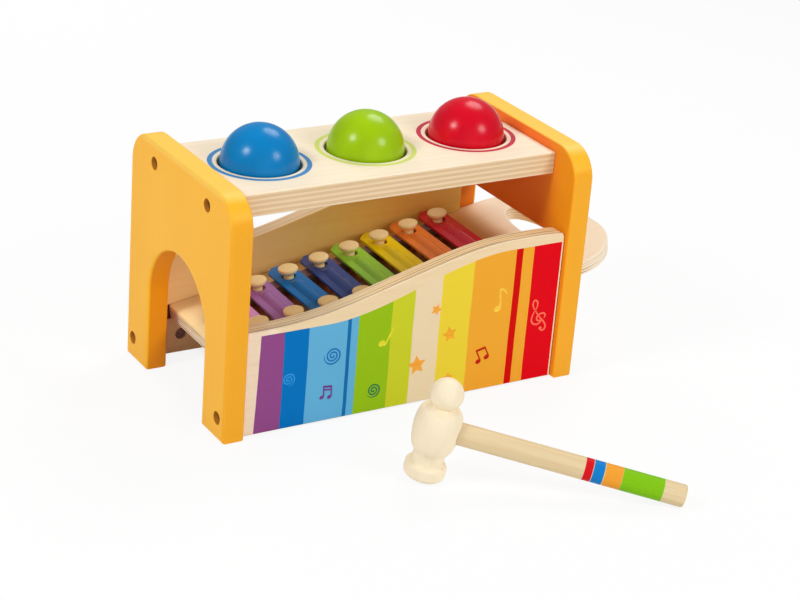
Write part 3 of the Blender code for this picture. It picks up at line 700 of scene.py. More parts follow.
# %% Slabs
def slab(loops, low, high, edge, plane, steps=4):
    """A board in a plane, from low to high across it.

    The first loop is its outline, the others are holes; edge is the radius of the rounding.
    """
    third = {"YZ": 0, "XZ": 1, "XY": 2}[plane]
    quarter = [math.pi / 2 * i / steps for i in range(steps + 1)]
    lower = [(edge * (1 - math.sin(a)), low + edge * (1 - math.cos(a))) for a in quarter]
    path = lower + [(inset, low + high - height) for inset, height in reversed(lower)]
    bm = bmesh.new()
    walls = []
    for loop in loops:
        steps_in = inward(loop)
        rings = []
        for inset, height in path:
            verts = []
            for (u, v), step in zip(loop, steps_in):
                point = [u + step.x * inset, v + step.y * inset]
                point.insert(third, height)
                verts.append(bm.verts.new(point))
            rings.append(verts)
        for one, other in zip(rings, rings[1:]):
            for i in range(len(loop)):
                bm.faces.new((one[i - 1], one[i], other[i], other[i - 1]))
        walls.append(rings)
    for face in (0, -1):
        verts = [v for rings in walls for v in rings[face]]
        for corners in tessellate_polygon([[v.co for v in rings[face]] for rings in walls]):
            bm.faces.new([verts[i] for i in corners])
    bmesh.ops.recalc_face_normals(bm, faces=bm.faces)
    return bm


tile = slab([[(0, 0), (1, 0), (1, 1), (0, 1)]], 0, 1, 0.1, "XY")
print("a square tile with soft edges has", len(tile.faces), "faces")
tile.free()

# %% [markdown]
# ## Turning, cutting and placing
#
# `lathe` is the wood turner: a profile of radii and heights, spun round Z. `carved` is the drill press: it
# cuts closed shapes out of a blank with the exact Boolean and keeps only the result. `place` hangs the
# finished piece on its body, hides the packed node it stands for, and adds weighted normals, so that big flat
# faces stay flat in the light and only the rounded edges bend.

# %% Lathe
def lathe(profile, steps=64, closed=False):
    """Spin (radius, height) points about Z; a closed profile makes a ring."""
    bm = bmesh.new()
    turns = [math.tau * i / steps for i in range(steps)]
    rings = []
    for radius, height in profile:
        if radius < 1e-6:
            rings.append([bm.verts.new((0, 0, height))] * steps)
        else:
            rings.append([bm.verts.new((radius * math.cos(t), radius * math.sin(t), height)) for t in turns])
    pairs = list(zip(rings, rings[1:])) + ([(rings[-1], rings[0])] if closed else [])
    for one, other in pairs:
        for i in range(steps):
            corners = dict.fromkeys((one[i - 1], one[i], other[i], other[i - 1]))
            if len(corners) > 2:
                bm.faces.new(list(corners))
    bmesh.ops.recalc_face_normals(bm, faces=bm.faces)
    return bm


def rod(radius, low, high, steps=32):
    """A plain cylinder along Z."""
    return lathe([(0, high), (radius, high), (radius, low), (0, low)], steps)


def moved(bm, matrix):
    """The same shape, turned or shifted; matrix is in millimetres."""
    bmesh.ops.transform(bm, matrix=matrix, verts=bm.verts)
    return bm


def shift(x, y, z):
    """A shift for moved()."""
    return Matrix.Translation((x, y, z))


LIE_ALONG_X = Matrix.Rotation(math.pi / 2, 4, "Y")
dowel = rod(1, 0, 1)
print("a rod has", len(dowel.faces), "faces")
dowel.free()

# %% Drill press
def mesh_of(bm, name):
    """A mesh from a shape, which is used up."""
    made = bpy.data.meshes.new(name)
    bm.to_mesh(made)
    bm.free()
    return made


def shown(name, mesh):
    """A new object in the scene."""
    made = bpy.data.objects.new(name, mesh)
    bpy.context.scene.collection.objects.link(made)
    return made


def joined(shapes):
    """Several shapes as one."""
    whole = bmesh.new()
    for bm in shapes:
        part = mesh_of(bm, "joined")
        whole.from_mesh(part)
        bpy.data.meshes.remove(part)
    return whole


def carved(blank, *tools):
    """The blank with closed shapes cut out of it."""
    piece = shown("blank", mesh_of(blank, "blank"))
    bits = [shown("drill", mesh_of(bm, "drill")) for bm in tools]
    for bit in bits:
        step = piece.modifiers.new("cut", "BOOLEAN")
        step.operation = "DIFFERENCE"
        step.solver = "EXACT"
        step.object = bit
    bpy.context.view_layer.update()
    result = bmesh.new()
    result.from_mesh(piece.evaluated_get(bpy.context.evaluated_depsgraph_get()).data)
    for used in [piece, *bits]:
        shape = used.data
        bpy.data.objects.remove(used)
        bpy.data.meshes.remove(shape)
    return result


bead = carved(rod(2, 0, 1), rod(1, -1, 2))
print("a drilled rod has", len(bead.verts), "points")
bead.free()

# %% Placing a piece
SHARP = math.radians(38)


def place(name, bm, look, body, home=BENCH, node=None, slot=None):
    """Hang a shape, drawn in millimetres in its own frame, on a body."""
    bmesh.ops.scale(bm, vec=(MM, MM, MM), verts=bm.verts)
    mesh = mesh_of(bm, name)
    mesh.shade_smooth()
    mesh.set_sharp_from_angle(angle=SHARP)
    mesh.materials.append(look)
    piece = shown(name, mesh)
    piece.matrix_world = home
    normals = piece.modifiers.new("even_light", "WEIGHTED_NORMAL")
    normals.keep_sharp = True
    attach(piece, body)
    if node:
        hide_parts(node)
    return piece


print("edges sharper than", round(math.degrees(SHARP)), "degrees stay crisp")

# %% [markdown]
# ## Bolts, and the holes they need
#
# Each side is held by four bolts: two into the top board and one into each panel. The heads sit deep in
# drilled holes, and a barrel nut, a short rod with a cross bore, waits inside the wood. They come first,
# because the boards below are drilled with the same places. A bolt is a turned profile with a socket in its
# head.

# %% Where the bolts go
NUT_REACH, NUT_RADIUS, NUT_RIM = 15.5, 3.4, 0.4
ROWS = ((-1, "front"), (1, "rear"))
BOLT_ROWS = [(f"{row}_{side}", sign * y, z) for sign, side in ROWS for row, y, z in BOLT_SPOTS]
BOLT_HOLE = [(0, 12), (3.9, 12), (3.9, -7.3), (2.3, -7.3), (2.3, -33.5), (0, -33.5)]


def bolt_place(end, y, z):
    """A bolt's axis along X, its head outwards at that end of the bench."""
    return shift(end * LENGTH_HALF, y, z) @ Matrix.Rotation(end * math.pi / 2, 4, "Y")


def nut_half(label):
    """Half a nut's length: the top board is thicker than the panels."""
    return 5.6 if label.startswith("top") else 4.05


def nut_place(label, end, y, z):
    """Barrel nuts stand upright in the top board and lie across the panels."""
    spot = shift(end * (INNER_HALF - NUT_REACH), y, z)
    if label.startswith("top"):
        return spot
    return spot @ Matrix.Rotation(math.copysign(math.pi / 2, -y), 4, "X")


def drills(ends=(-1, 1), nuts=True):
    """Everything to be drilled for the bolts, as one shape."""
    found = []
    for end in ends:
        for label, y, z in BOLT_ROWS:
            found.append(moved(lathe(BOLT_HOLE, 40), bolt_place(end, y, z)))
            if nuts:
                half = nut_half(label)
                pocket = rod(NUT_RADIUS + 0.3, -half - 2.4, half + 0.3, 40)
                found.append(moved(pocket, nut_place(label, end, y, z)))
    return joined(found)


print("bolts:", 2 * len(BOLT_ROWS))

# %% Bolts and barrel nuts
BOLT = [
    (0, -5.0), (1.0, -5.2), (1.9, -5.0), (1.9, -2.9), (2.2, -2.6), (3.2, -2.6), (3.6, -3.0), (3.6, -6.8),
    (3.4, -7.0), (2.0, -7.0), (2.0, -31.6), (1.5, -32.3), (0, -32.3),
]
for end, side in ((-1, "left"), (1, "right")):
    for label, y, z in BOLT_ROWS:
        spot = f"{side}_{label}"
        bolt = moved(lathe(BOLT, 40), bolt_place(end, y, z))
        place(f"screw_{spot}", bolt, steel_finish, "bench", node=f"bolt_{spot}", slot="fastener_steel")
        half = nut_half(label)
        rim = NUT_RADIUS - NUT_RIM
        upper = [(0, half), (rim, half), (NUT_RADIUS, half - NUT_RIM)]
        body = lathe(upper + [(radius, -height) for radius, height in reversed(upper)], 40)
        bore = moved(rod(2.3, -8, 8), LIE_ALONG_X)
        nut = moved(carved(body, bore), nut_place(label, end, y, z))
        place(f"barrel_{spot}", nut, steel_finish, "bench", node=f"barrel_nut_{spot}", slot="fastener_steel")
print("placed", 2 * len(BOLT_ROWS), "bolts with their nuts")

# %% [markdown]
# ## The orange sides
#
# Two thick boards carry everything. Both have round shoulders and softly routed edges. The left one has the
# arch where the balls roll out, and the right one a wide slot, just larger than the xylophone board with its
# bars and pegs. Both are sawn from one outline: the arch is a dent in it, so it joins the outline's points,
# and the slot is a hole, so it is a loop of its own.

# %% Sides
DEPTH_HALF = 64.0
SIDE_HEIGHT = 143.0
SHOULDER = 19.0
ARCH_RADIUS, ARCH_TOP = 36.9, 87.6
SLOT_HALF, SLOT_SILL, SLOT_LINTEL, SLOT_CORNER = 54.5, 52.4, 87.0, 4
SIDE_EDGE = 1.6

shoulder_y, shoulder_z = DEPTH_HALF - SHOULDER, SIDE_HEIGHT - SHOULDER
top_edge = rounded([
    ((shoulder_y, shoulder_z), SHOULDER, 0, 24),
    ((-shoulder_y, shoulder_z), SHOULDER, 90, 24),
])
side = [(DEPTH_HALF, 0)] + top_edge + [(-DEPTH_HALF, 0)]
arch = arc((0, ARCH_TOP - ARCH_RADIUS), ARCH_RADIUS, 180, 0, 72)
legs = [(-ARCH_RADIUS, 0)] + arch + [(ARCH_RADIUS, 0)]
corner_y, low_z, high_z = SLOT_HALF - SLOT_CORNER, SLOT_SILL + SLOT_CORNER, SLOT_LINTEL - SLOT_CORNER
opening = rounded([
    ((corner_y, low_z), SLOT_CORNER, -90, 10),
    ((corner_y, high_z), SLOT_CORNER, 0, 10),
    ((-corner_y, high_z), SLOT_CORNER, 90, 10),
    ((-corner_y, low_z), SLOT_CORNER, 180, 10),
])[::-1]

left = carved(slab([side + legs], -LENGTH_HALF, -INNER_HALF, SIDE_EDGE, "YZ"), drills((-1,), nuts=False))
place("side_left", left, side_paint, "bench", node="left_side_panel", slot="orange_paint")
right = carved(slab([side, opening], INNER_HALF, LENGTH_HALF, SIDE_EDGE, "YZ"), drills((1,), nuts=False))
place("side_right", right, side_paint, "bench", node="right_side_panel", slot="orange_paint")
print("sides placed,", SIDE_HEIGHT, "mm high")

# %% [markdown]
# ## The top board, its rings and balls
#
# A thick plywood board with a hole for each ball. A rubber ring in a groove grips the ball at its waist, so
# it stays up until the hammer hits it. The ball itself is a turned sphere. A fine mesh keeps its outline
# round in a close look, and its highlights come from the lacquer.

# %% Top board
PLANK_END, TOP_HALF, PLANK_EDGE = 103.3, 42.5, 0.9
HOLE_RADIUS = 23.95
RING_RADIUS, RING_WIRE, RING_DROP = 23.25, 1.5, 6.77
spots = [x for name, x, paint, ink in BALLS]
outline = [(-PLANK_END, -TOP_HALF), (PLANK_END, -TOP_HALF), (PLANK_END, TOP_HALF), (-PLANK_END, TOP_HALF)]
holes = [ring((x, 0), HOLE_RADIUS, 128) for x in spots]
blank = slab([outline] + holes, TOP_HEIGHT - TOP_THICKNESS, TOP_HEIGHT, PLANK_EDGE, "XY")
groove = ring((RING_RADIUS, TOP_HEIGHT - RING_DROP), RING_WIRE + 0.3, 24)
grooves = joined([moved(lathe(groove, 96, True), shift(x, 0, 0)) for x in spots])
board = carved(blank, grooves, drills())
place("top_plank", board, top_ply, "bench", node="top_board", slot="birch_plywood")
print("top board with", len(spots), "holes")

# %% Balls and grip rings
BALL_RADIUS = 22.5
half_turn = arc((0, 0), BALL_RADIUS, 90, -90, 48)
sphere = [(0, BALL_RADIUS)] + half_turn[1:-1] + [(0, -BALL_RADIUS)]
wire = ring((RING_RADIUS, -RING_DROP), RING_WIRE, 24)
for name, x, paint, ink in BALLS:
    home = BENCH @ at(x, 0, TOP_HEIGHT)
    place(f"lacquered_{name}", lathe(sphere, 96), ball_paint[name], f"ball_{name}", home,
          f"ball_{name}", f"ball_{name}")
    place(f"grip_{name}", lathe(wire, 96, True), rubber_finish, "bench", home,
          f"grip_ring_{name}", "grip_rubber")
print("balls:", [b[0] for b in BALLS])

# %% [markdown]
# ## Front and rear panels
#
# Both panels are sawn to the same wave: low at the left, where the bars can be seen, and high at the right.
# The wave is one smooth step, a polynomial that starts and ends level, with a slight sag halfway. In the
# photo the rear panel's wave rises a little later, so the outline takes a lag. A sloping groove on the inner
# faces carries the xylophone board. It is drawn on the slope and brought over with the slope's matrix.

# %% Wave and groove
WAVE_LOW, WAVE_HIGH, WAVE_FLAT = 64.0, 94.2, 18.0
SAG, SAG_AT, SAG_RUN = 1.1, 15.0, 30.0
PANEL_FOOT, PANEL_CORNER, WAVE_STEPS = 0.6, 3.0, 120
GROOVE_DEPTH, GROOVE_PLAY, GROOVE_END = 54.5, 0.3, 280


def wave(x):
    """The height of a panel's upper edge."""
    end = INNER_HALF - WAVE_FLAT
    t = min(max((x + INNER_HALF) / (end + INNER_HALF), 0), 1)
    step = t ** 3 * (t * (6 * t - 15) + 10)
    sag = SAG * math.exp(-(((x - SAG_AT) / SAG_RUN) ** 2))
    return WAVE_LOW + (WAVE_HIGH - WAVE_LOW) * step - (max(x - end, 0) / WAVE_FLAT) ** 2 - sag


def panel(lag):
    """A panel's outline; lag is how much later its wave rises."""
    right = PLANK_END - PANEL_CORNER
    outline = [(-PLANK_END, PANEL_FOOT), (PLANK_END, PANEL_FOOT)]
    outline += arc((right, wave(right - lag) - PANEL_CORNER), PANEL_CORNER, 0, 90, 8)
    xs = [right - (right + PLANK_END) * i / WAVE_STEPS for i in range(1, WAVE_STEPS + 1)]
    return outline + [(x, wave(x - lag)) for x in xs]


def groove_cutter():
    """The room that the board needs between the panels, with a round lower end."""
    half = BOARD_THICKNESS / 2 + GROOVE_PLAY
    path = arc((-GROOVE_PLAY, -BOARD_THICKNESS / 2), half, 90, 270, 16)
    path += [(GROOVE_END, -BOARD_THICKNESS - GROOVE_PLAY), (GROOVE_END, GROOVE_PLAY)]
    drawn = slab([path[::-1]], -GROOVE_DEPTH, GROOVE_DEPTH, 0.05, "XZ", 1)
    return moved(drawn, shift(*SLOPE_FOOT) @ SLOPE_TURN)


print("panel rises from", WAVE_LOW, "to", WAVE_HIGH, "mm")

# %% Panels
for name, look, low, high, lag, node in (
    ("striped_panel", front_ply, -PANEL_OUTER, -PANEL_INNER, 0.0, "front_panel"),
    ("rear_plank", back_ply, PANEL_INNER, PANEL_OUTER, 7.5, "rear_panel"),
):
    blank = slab([panel(lag)], low, high, PLANK_EDGE, "XZ")
    place(name, carved(blank, groove_cutter(), drills()), look, "bench", node=node, slot="birch_plywood")
print("panels placed,", PANEL_OUTER - PANEL_INNER, "mm thick")

# %% [markdown]
# ## The xylophone board
#
# One plywood board slides in the grooves. Its right end is a broad round handle with a finger hole, and
# between the two rows of pegs an opening lets the bars ring. Everything on it is drawn in the slope's frame:
# X runs up the board, Z stands off its face. The rows of pegs draw together towards the left, and all other
# outlines take their taper from them.

# %% Board
BOARD_LENGTH, BOARD_HALF, BOARD_EDGE = 261.4, 53.8, 1.1
LEFT_CORNER, GRIP_CORNER, OPENING_CORNER = 5, 40, 4
GRIP_OUT, FINGER_LONG, FINGER_WIDE = 12, 11, 34
FIRST_BAR, LAST_BAR, BAR_COUNT = 24.1, 176.0, 8
BAR_PITCH = (LAST_BAR - FIRST_BAR) / (BAR_COUNT - 1)
FIRST_SPAN, SPAN_STEP = 42.6, 3.36
PEG_BORE = 3.4


def peg_row(along):
    """How far the pegs stand from the board's middle line at a place along it."""
    return (FIRST_SPAN + SPAN_STEP * (along - FIRST_BAR) / BAR_PITCH) / 2


def peg_bores(low, high, rows=(-1, 1)):
    """The holes for the pegs, as one shape."""
    found = []
    for i in range(BAR_COUNT):
        along = FIRST_BAR + i * BAR_PITCH
        found += [moved(rod(PEG_BORE, low, high), shift(along, row * peg_row(along), 0)) for row in rows]
    return joined(found)


def tapered(left, right, steps):
    """An outline that lies evenly about X; each end is (place along X, half width, corner radius)."""
    (x0, half0, r0), (x1, half1, r1) = left, right
    return rounded([
        ((x0 + r0, r0 - half0), r0, 180, steps[0]),
        ((x1 - r1, r1 - half1), r1, 270, steps[1]),
        ((x1 - r1, half1 - r1), r1, 0, steps[1]),
        ((x0 + r0, half0 - r0), r0, 90, steps[0]),
    ])


grip_centre = (LENGTH_HALF + GRIP_OUT - SLOPE_FOOT[0]) / math.cos(SLOPE_ANGLE)
finger_hole = [(grip_centre + FINGER_LONG * u, FINGER_WIDE * v) for u, v in ring((0, 0), 1, 80)]
tray = tapered((0, BOARD_HALF, LEFT_CORNER), (BOARD_LENGTH, BOARD_HALF, GRIP_CORNER), (10, 36))
start, stop = FIRST_BAR - 9, LAST_BAR + 9
ends = [(along, peg_row(along) - 8.5, OPENING_CORNER) for along in (start, stop)]
sound_hole = tapered(*ends, (8, 8))[::-1]
blank = slab([tray, finger_hole, sound_hole], -BOARD_THICKNESS, 0, BOARD_EDGE, "XY")
place("xylophone_plank", carved(blank, peg_bores(-7.3, 9)), tray_ply, "xylophone", SLOPE,
      "xylophone_board", "birch_plywood")
print("board", round(BOARD_LENGTH), "mm long")

# %% Rails and felt
RAIL_HALF, FELT_LOW, FELT_HIGH = 4.5, 5.1, 6.1
RAIL_START, RAIL_STOP = FIRST_BAR - 13, LAST_BAR + 8
for row, name in ROWS:
    strip = []
    for along, edge in ((RAIL_START, -1), (RAIL_STOP, -1), (RAIL_STOP, 1), (RAIL_START, 1)):
        strip.append((along, row * peg_row(along) + edge * RAIL_HALF))
    for piece, low, high, edge, look, node, slot in (
        (f"{name}_bearer", RAIL_LOW, RAIL_HIGH, 0.5, rail_ply, f"{name}_rail", "birch_plywood"),
        (f"{name}_felt", FELT_LOW, FELT_HIGH, 0.35, felt_shade_finish, f"{name}_felt_strip", "felt"),
    ):
        drilled = carved(slab([strip], low, high, edge, "XY", 3), peg_bores(-5, 12, (row,)))
        place(piece, drilled, look, "xylophone", SLOPE, node, slot)
print("rails and felt placed,", round(RAIL_STOP - RAIL_START, 1), "mm long")

# %% [markdown]
# ## Metal bars
#
# Each bar is stamped from sheet: the corners are cut, two holes are punched, and a rounded rib is pressed
# along the middle, which stiffens the sheet and tunes it. A grid of points is the natural start: the rib is a
# height over that grid, the sheet's thickness is one extrusion, and a small bevel breaks the stamped edges.
# The bars get shorter from the right to the left in the photo's order of colours. They are loose on their
# pegs, so each lies a degree or two askew.

# %% One bar
BAR_HALF, BAR_UNDER, SHEET = 8.25, 6.4, 1.6
CORNER_CUT, OVERHANG, PUNCH = 4.5, 15.6, 4.2
RIB_HALF, RIB_HEIGHT, RIB_GAP, RIB_RUN = 4.25, 2.4, 6.0, 6.0
RIB_STEPS, FLAT_LINE = 12, 6.2


def rib(x, y, end):
    """The pressed rib's height over the sheet."""
    across_rib = min(abs(x) / RIB_HALF, 1)
    run = min(max((end - abs(y)) / RIB_RUN, 0), 1)
    return RIB_HEIGHT * (1 - across_rib ** 2) ** 1.3 * run * run * (3 - 2 * run)


def bar(half_span):
    """One bar whose holes lie half_span from its middle."""
    half = half_span + OVERHANG
    end = half_span - RIB_GAP
    ribbed = [RIB_HALF * k / RIB_STEPS for k in range(-RIB_STEPS, RIB_STEPS + 1)]
    xs = [-BAR_HALF, -FLAT_LINE] + ribbed + [FLAT_LINE, BAR_HALF]
    ys = [half, half - CORNER_CUT] + [end - RIB_RUN * k / RIB_STEPS for k in range(RIB_STEPS + 1)]
    ys += [end - RIB_RUN - (end - RIB_RUN) * k / 4 for k in range(1, 4)]
    ys = sorted({round(y, 5) for y in ys + [0.0] + [-y for y in ys]})
    bm = bmesh.new()
    rows = []
    for y in ys:
        narrow = 1 - CORNER_CUT / BAR_HALF * min(max((abs(y) - half + CORNER_CUT) / CORNER_CUT, 0), 1)
        rows.append([bm.verts.new((x * narrow, y, rib(x, y, end))) for x in xs])
    for row, after in zip(rows, rows[1:]):
        for i in range(len(xs) - 1):
            bm.faces.new((row[i], row[i + 1], after[i + 1], after[i]))
    grown = bmesh.ops.extrude_face_region(bm, geom=list(bm.faces))["geom"]
    lifted = [g for g in grown if isinstance(g, bmesh.types.BMVert)]
    bmesh.ops.translate(bm, verts=lifted, vec=(0, 0, SHEET))
    bmesh.ops.recalc_face_normals(bm, faces=bm.faces)
    punches = joined([moved(rod(PUNCH, -6, 9), shift(0, row * half_span, 0)) for row in (-1, 1)])
    return carved(bm, punches)


print("bars are", 2 * BAR_HALF, "mm wide, their ribs", RIB_HEIGHT, "mm high")

# %% Bars in their colours
# Name, how far askew in degrees, and enamel.
BAR_PAINTS = (
    ("pink", 1.2, screen(236, 160, 218)),
    ("purple", 1.6, screen(180, 120, 190)),
    ("blue", 0.4, screen(0, 124, 206)),
    ("navy", 2.0, screen(56, 82, 156)),
    ("green", 1.8, screen(160, 222, 70)),
    ("yellow", 1.8, screen(255, 226, 0)),
    ("orange", 1.5, screen(255, 144, 58)),
    ("red", 1.6, screen(226, 44, 64)),
)
for i, (name, askew, paint) in enumerate(BAR_PAINTS):
    along = FIRST_BAR + i * BAR_PITCH
    turn = Matrix.Rotation(-math.radians(askew), 4, "Z")
    piece = place(f"tone_bar_{name}", bar(peg_row(along)), enamel(f"enamel_{name}", paint), "xylophone",
                  SLOPE @ at(along, 0, BAR_UNDER) @ turn, f"bar_{name}", f"bar_{name}")
    soften = piece.modifiers.new("soft_edges", "BEVEL")
    soften.width = 0.35 * MM
    soften.segments = 2
    soften.limit_method = "ANGLE"
    soften.angle_limit = math.radians(55)
    piece.modifiers.move(1, 0)
print("bars:", [b[0] for b in BAR_PAINTS])

# %% [markdown]
# ## Pegs
#
# A wooden peg with a mushroom head holds each end of a bar. The bar's hole is wider than the peg's stem, so
# the bar lies loose on its felt and can ring. The head is a cone under a thin rim and an almost flat crown.
# A turner makes such pegs by the hundred from one template, and here one profile serves them all.

# %% Peg row
PEG = [
    (0, 14.6), (2.2, 14.52), (4.2, 14.3), (5.4, 14.02), (5.85, 13.75), (6.0, 13.3), (6.0, 12.9), (5.8, 12.3),
    (5.2, 11.6), (4.3, 10.8), (3.6, 10.1), (3.2, 9.5), (3.1, 9.0), (3.1, -6.4), (2.6, -7.0), (0, -7.0),
]
for i, (name, askew, paint) in enumerate(BAR_PAINTS):
    along = FIRST_BAR + i * BAR_PITCH
    for row, row_name in ROWS:
        home = SLOPE @ at(along, row * peg_row(along), 0)
        place(f"pin_{name}_{row_name}", lathe(PEG, 40), peg_wood, "xylophone", home,
              f"peg_{name}_{row_name}", "peg_wood")
print("pegs:", 2 * len(BAR_PAINTS))

# %% [markdown]
# ## The hammer
#
# The head is one turned piece: a ball, a barrel and a flat striking disc. The handle is a dowel with a
# rounded end, glued into a cross bore. The hammer lies on the rim of the disc and on the handle's end, so it
# is tilted, and its frame carries that tilt. Both parts are turned profiles, drawn with more points than the
# packed solid has.

# %% Hammer
HAMMER_X, HAMMER_Y, HAMMER_TURN = -28.8, -142.1, math.radians(-36)
HANDLE_LENGTH, HANDLE_RADIUS, HANDLE_ROUND, HANDLE_START = 138.6, 6.3, 1.2, -8.2
BARREL, BARREL_RISE, BARREL_UPPER, BARREL_LOWER = 13.2, 1.2, 11.6, 15.2
NECK, NECK_GAP, WAIST, WAIST_TOP = 6.6, 1.25, 8.8, -16.0
DISC, DISC_TOP, DISC_BOTTOM, DISC_LIP, DISC_FOOT = 11.6, -21.2, -30.0, 2.1, 3.0
HEAD_BALL = 9.3

drop = -DISC_BOTTOM - DISC_FOOT - HANDLE_RADIUS + HANDLE_ROUND
run = HANDLE_LENGTH - HANDLE_ROUND - DISC + DISC_FOOT
tilt = math.acos((HANDLE_ROUND - DISC_FOOT) / math.hypot(drop, run)) - math.atan2(run, drop)
rest = -(DISC_BOTTOM + DISC_FOOT) * math.cos(tilt) + (DISC - DISC_FOOT) * math.sin(tilt) + DISC_FOOT
pose = Matrix.Rotation(HAMMER_TURN, 4, "Z") @ Matrix.Rotation(tilt, 4, "Y")
HAMMER = BENCH @ at(HAMMER_X, HAMMER_Y, rest) @ pose
print("the hammer lies at", round(math.degrees(tilt), 2), "degrees, its axis", round(rest, 2), "mm up")

# %% Head and handle
ball_centre = BARREL_RISE + BARREL_UPPER + NECK_GAP + math.sqrt(HEAD_BALL ** 2 - NECK ** 2)
neck_angle = math.degrees(math.acos(NECK / HEAD_BALL))
head = [(0, ball_centre + HEAD_BALL)] + arc((0, ball_centre), HEAD_BALL, 90, -neck_angle, 24)[1:]
for degrees in range(78, -79, -6):
    a = math.radians(degrees)
    end, half, shape = WAIST, BARREL_LOWER, math.cos(a)
    if degrees > 0:
        end, half, shape = NECK, BARREL_UPPER, math.cos(a) ** 0.6
    head.append((end + (BARREL - end) * shape, BARREL_RISE + half * math.sin(a)))
head += [(WAIST, WAIST_TOP), (WAIST, DISC_TOP + 1.6), (WAIST + 0.4, DISC_TOP + 0.5)]
head += arc((DISC - DISC_LIP, DISC_TOP - DISC_LIP), DISC_LIP, 90, 0, 10)
head += arc((DISC - DISC_FOOT, DISC_BOTTOM + DISC_FOOT), DISC_FOOT, 0, -90, 12) + [(0, DISC_BOTTOM)]
socket = moved(rod(HANDLE_RADIUS + 0.3, HANDLE_START - 0.3, 30), LIE_ALONG_X)
place("mallet_head", carved(lathe(head, 96), socket), head_wood, "hammer", HAMMER,
      "hammer_head", "hammer_head_wood")

butt = arc((HANDLE_RADIUS - HANDLE_ROUND, HANDLE_LENGTH - HANDLE_ROUND), HANDLE_ROUND, 90, 0, 6)
handle = [(0, HANDLE_LENGTH)] + butt + [(HANDLE_RADIUS, HANDLE_START), (0, HANDLE_START)]
place("mallet_handle", moved(lathe(handle, 64), LIE_ALONG_X), handle_wood, "hammer", HAMMER,
      "hammer_handle", "hammer_handle_wood")
print("head", round(ball_centre + HEAD_BALL - DISC_BOTTOM, 1), "mm high")

# %% [markdown]
# ## Little printed signs
#
# Between the stripes the panel has a scatter of music signs: spirals, stars, notes and a clef. Their edges
# have to stay crisp in a close look, so each is a film of ink cut to shape, a few hundredths of a millimetre
# thick, let into the panel's face. A stroke is an outline made from a centre line and a width. Crossing
# strokes get slightly different heights, so that no two films share a plane.

# %% Films of ink
FILM_PROUD, FILM_STEP, FILM_SUNK = 0.05, 0.012, 0.03


def film(outline, level=0):
    """An outline on the panel's face as a thin film; each level stands a little higher."""
    front = -PANEL_OUTER - FILM_PROUD - FILM_STEP * level
    return slab([outline], front, FILM_SUNK - PANEL_OUTER, 0.004, "XZ", 1)


def stroke(line, widths):
    """The outline of a stroke along a line; widths is one width, or one for each point."""
    if not isinstance(widths, list):
        widths = [widths] * len(line)
    left_side, right_side = [], []
    for i, here in enumerate(line):
        before, after = Vector(line[max(i - 1, 0)]), Vector(line[min(i + 1, len(line) - 1)])
        run = (after - before).normalized()
        off = Vector((-run.y, run.x)) * widths[i] / 2
        left_side.append(tuple(Vector(here) + off))
        right_side.append(tuple(Vector(here) - off))
    return right_side + left_side[::-1]


def smooth_line(points, steps=10):
    """A flowing line through the points."""
    found = []
    ends = [points[0]] + list(points) + [points[-1]]
    for a, b, c, d in zip(ends, ends[1:], ends[2:], ends[3:]):
        a, b, c, d = (Vector(p) for p in (a, b, c, d))
        for i in range(steps):
            t = i / steps
            found.append(tuple(0.5 * (2 * b + (c - a) * t + (2 * a - 5 * b + 4 * c - d) * t ** 2
                                      + (3 * b - a - 3 * c + d) * t ** 3)))
    return found + [tuple(points[-1])]


print("a film is", FILM_PROUD + FILM_SUNK, "mm thick")

# %% Spirals and stars
def spiral(x, z, radius, turns, width, start):
    """A spiral from its middle outwards, thinner at both ends."""
    line, widths = [], []
    for i in range(121):
        t = i / 120
        angle = math.radians(start) - math.tau * turns * t
        reach = radius * (0.06 + 0.94 * t)
        line.append((x + reach * math.cos(angle), z + reach * math.sin(angle)))
        widths.append(width * min(1, 0.45 + 6 * t, 0.3 + 8 * (1 - t)))
    return [film(stroke(line, widths))]


def star(x, z, radius, tilt):
    """A star with five points."""
    points = []
    for i in range(10):
        reach = radius if i % 2 == 0 else radius * 0.50
        angle = math.radians(90 + tilt + 36 * i)
        points.append((x + reach * math.cos(angle), z + reach * math.sin(angle)))
    return [film(points)]


print("a flowing line through 3 points has", len(smooth_line([(0, 0), (1, 1), (2, 0)])), "points")

# %% Notes and a clef
def note_head(x, z, size, lean=24):
    """A leaning oval."""
    turn = Matrix.Rotation(math.radians(lean), 2)
    oval = [turn @ Vector((u, v * 0.78)) for u, v in ring((0, 0), size, 28, 360)]
    return film([(x + p.x, z + p.y) for p in oval])


def single_note(head, size, stem, flag, width=1.0):
    """One note: its head, a stem through points and a flag through points."""
    shapes = [note_head(*head, size), film(stroke(stem, width), 1)]
    if flag:
        line = smooth_line(flag)
        widths = [1.5 * width * (1 - 0.6 * i / len(line)) for i in range(len(line))]
        shapes.append(film(stroke(line, widths), 2))
    return shapes


def beamed_notes(heads, tops, size, beams):
    """Two notes whose stems meet one or more beams; each beam is (drop, thickness)."""
    shapes = []
    for (x, z), top in zip(heads, tops):
        stem = [(x + size * 0.8, z + size * 0.2), top]
        shapes += [note_head(x, z, size), film(stroke(stem, 0.9), 1)]
    (x0, z0), (x1, z1) = tops
    for level, (low, thick) in enumerate(beams):
        beam = [(x0 - 0.4, z0 - low), (x1 + 0.4, z1 - low)]
        shapes.append(film(stroke(beam, thick), 2 + level))
    return shapes


def clef(parts, width):
    """A treble clef drawn with several strokes, and a dot at the end of its tail."""
    shapes = []
    for level, points in enumerate(parts):
        line = smooth_line(points)
        swell = [width * (0.8 + 0.4 * math.sin(math.pi * i / (len(line) - 1))) for i in range(len(line))]
        shapes.append(film(stroke(line, swell), level))
    return shapes + [film(ring(parts[-1][-1], width * 1.15, 24, 360), len(parts))]


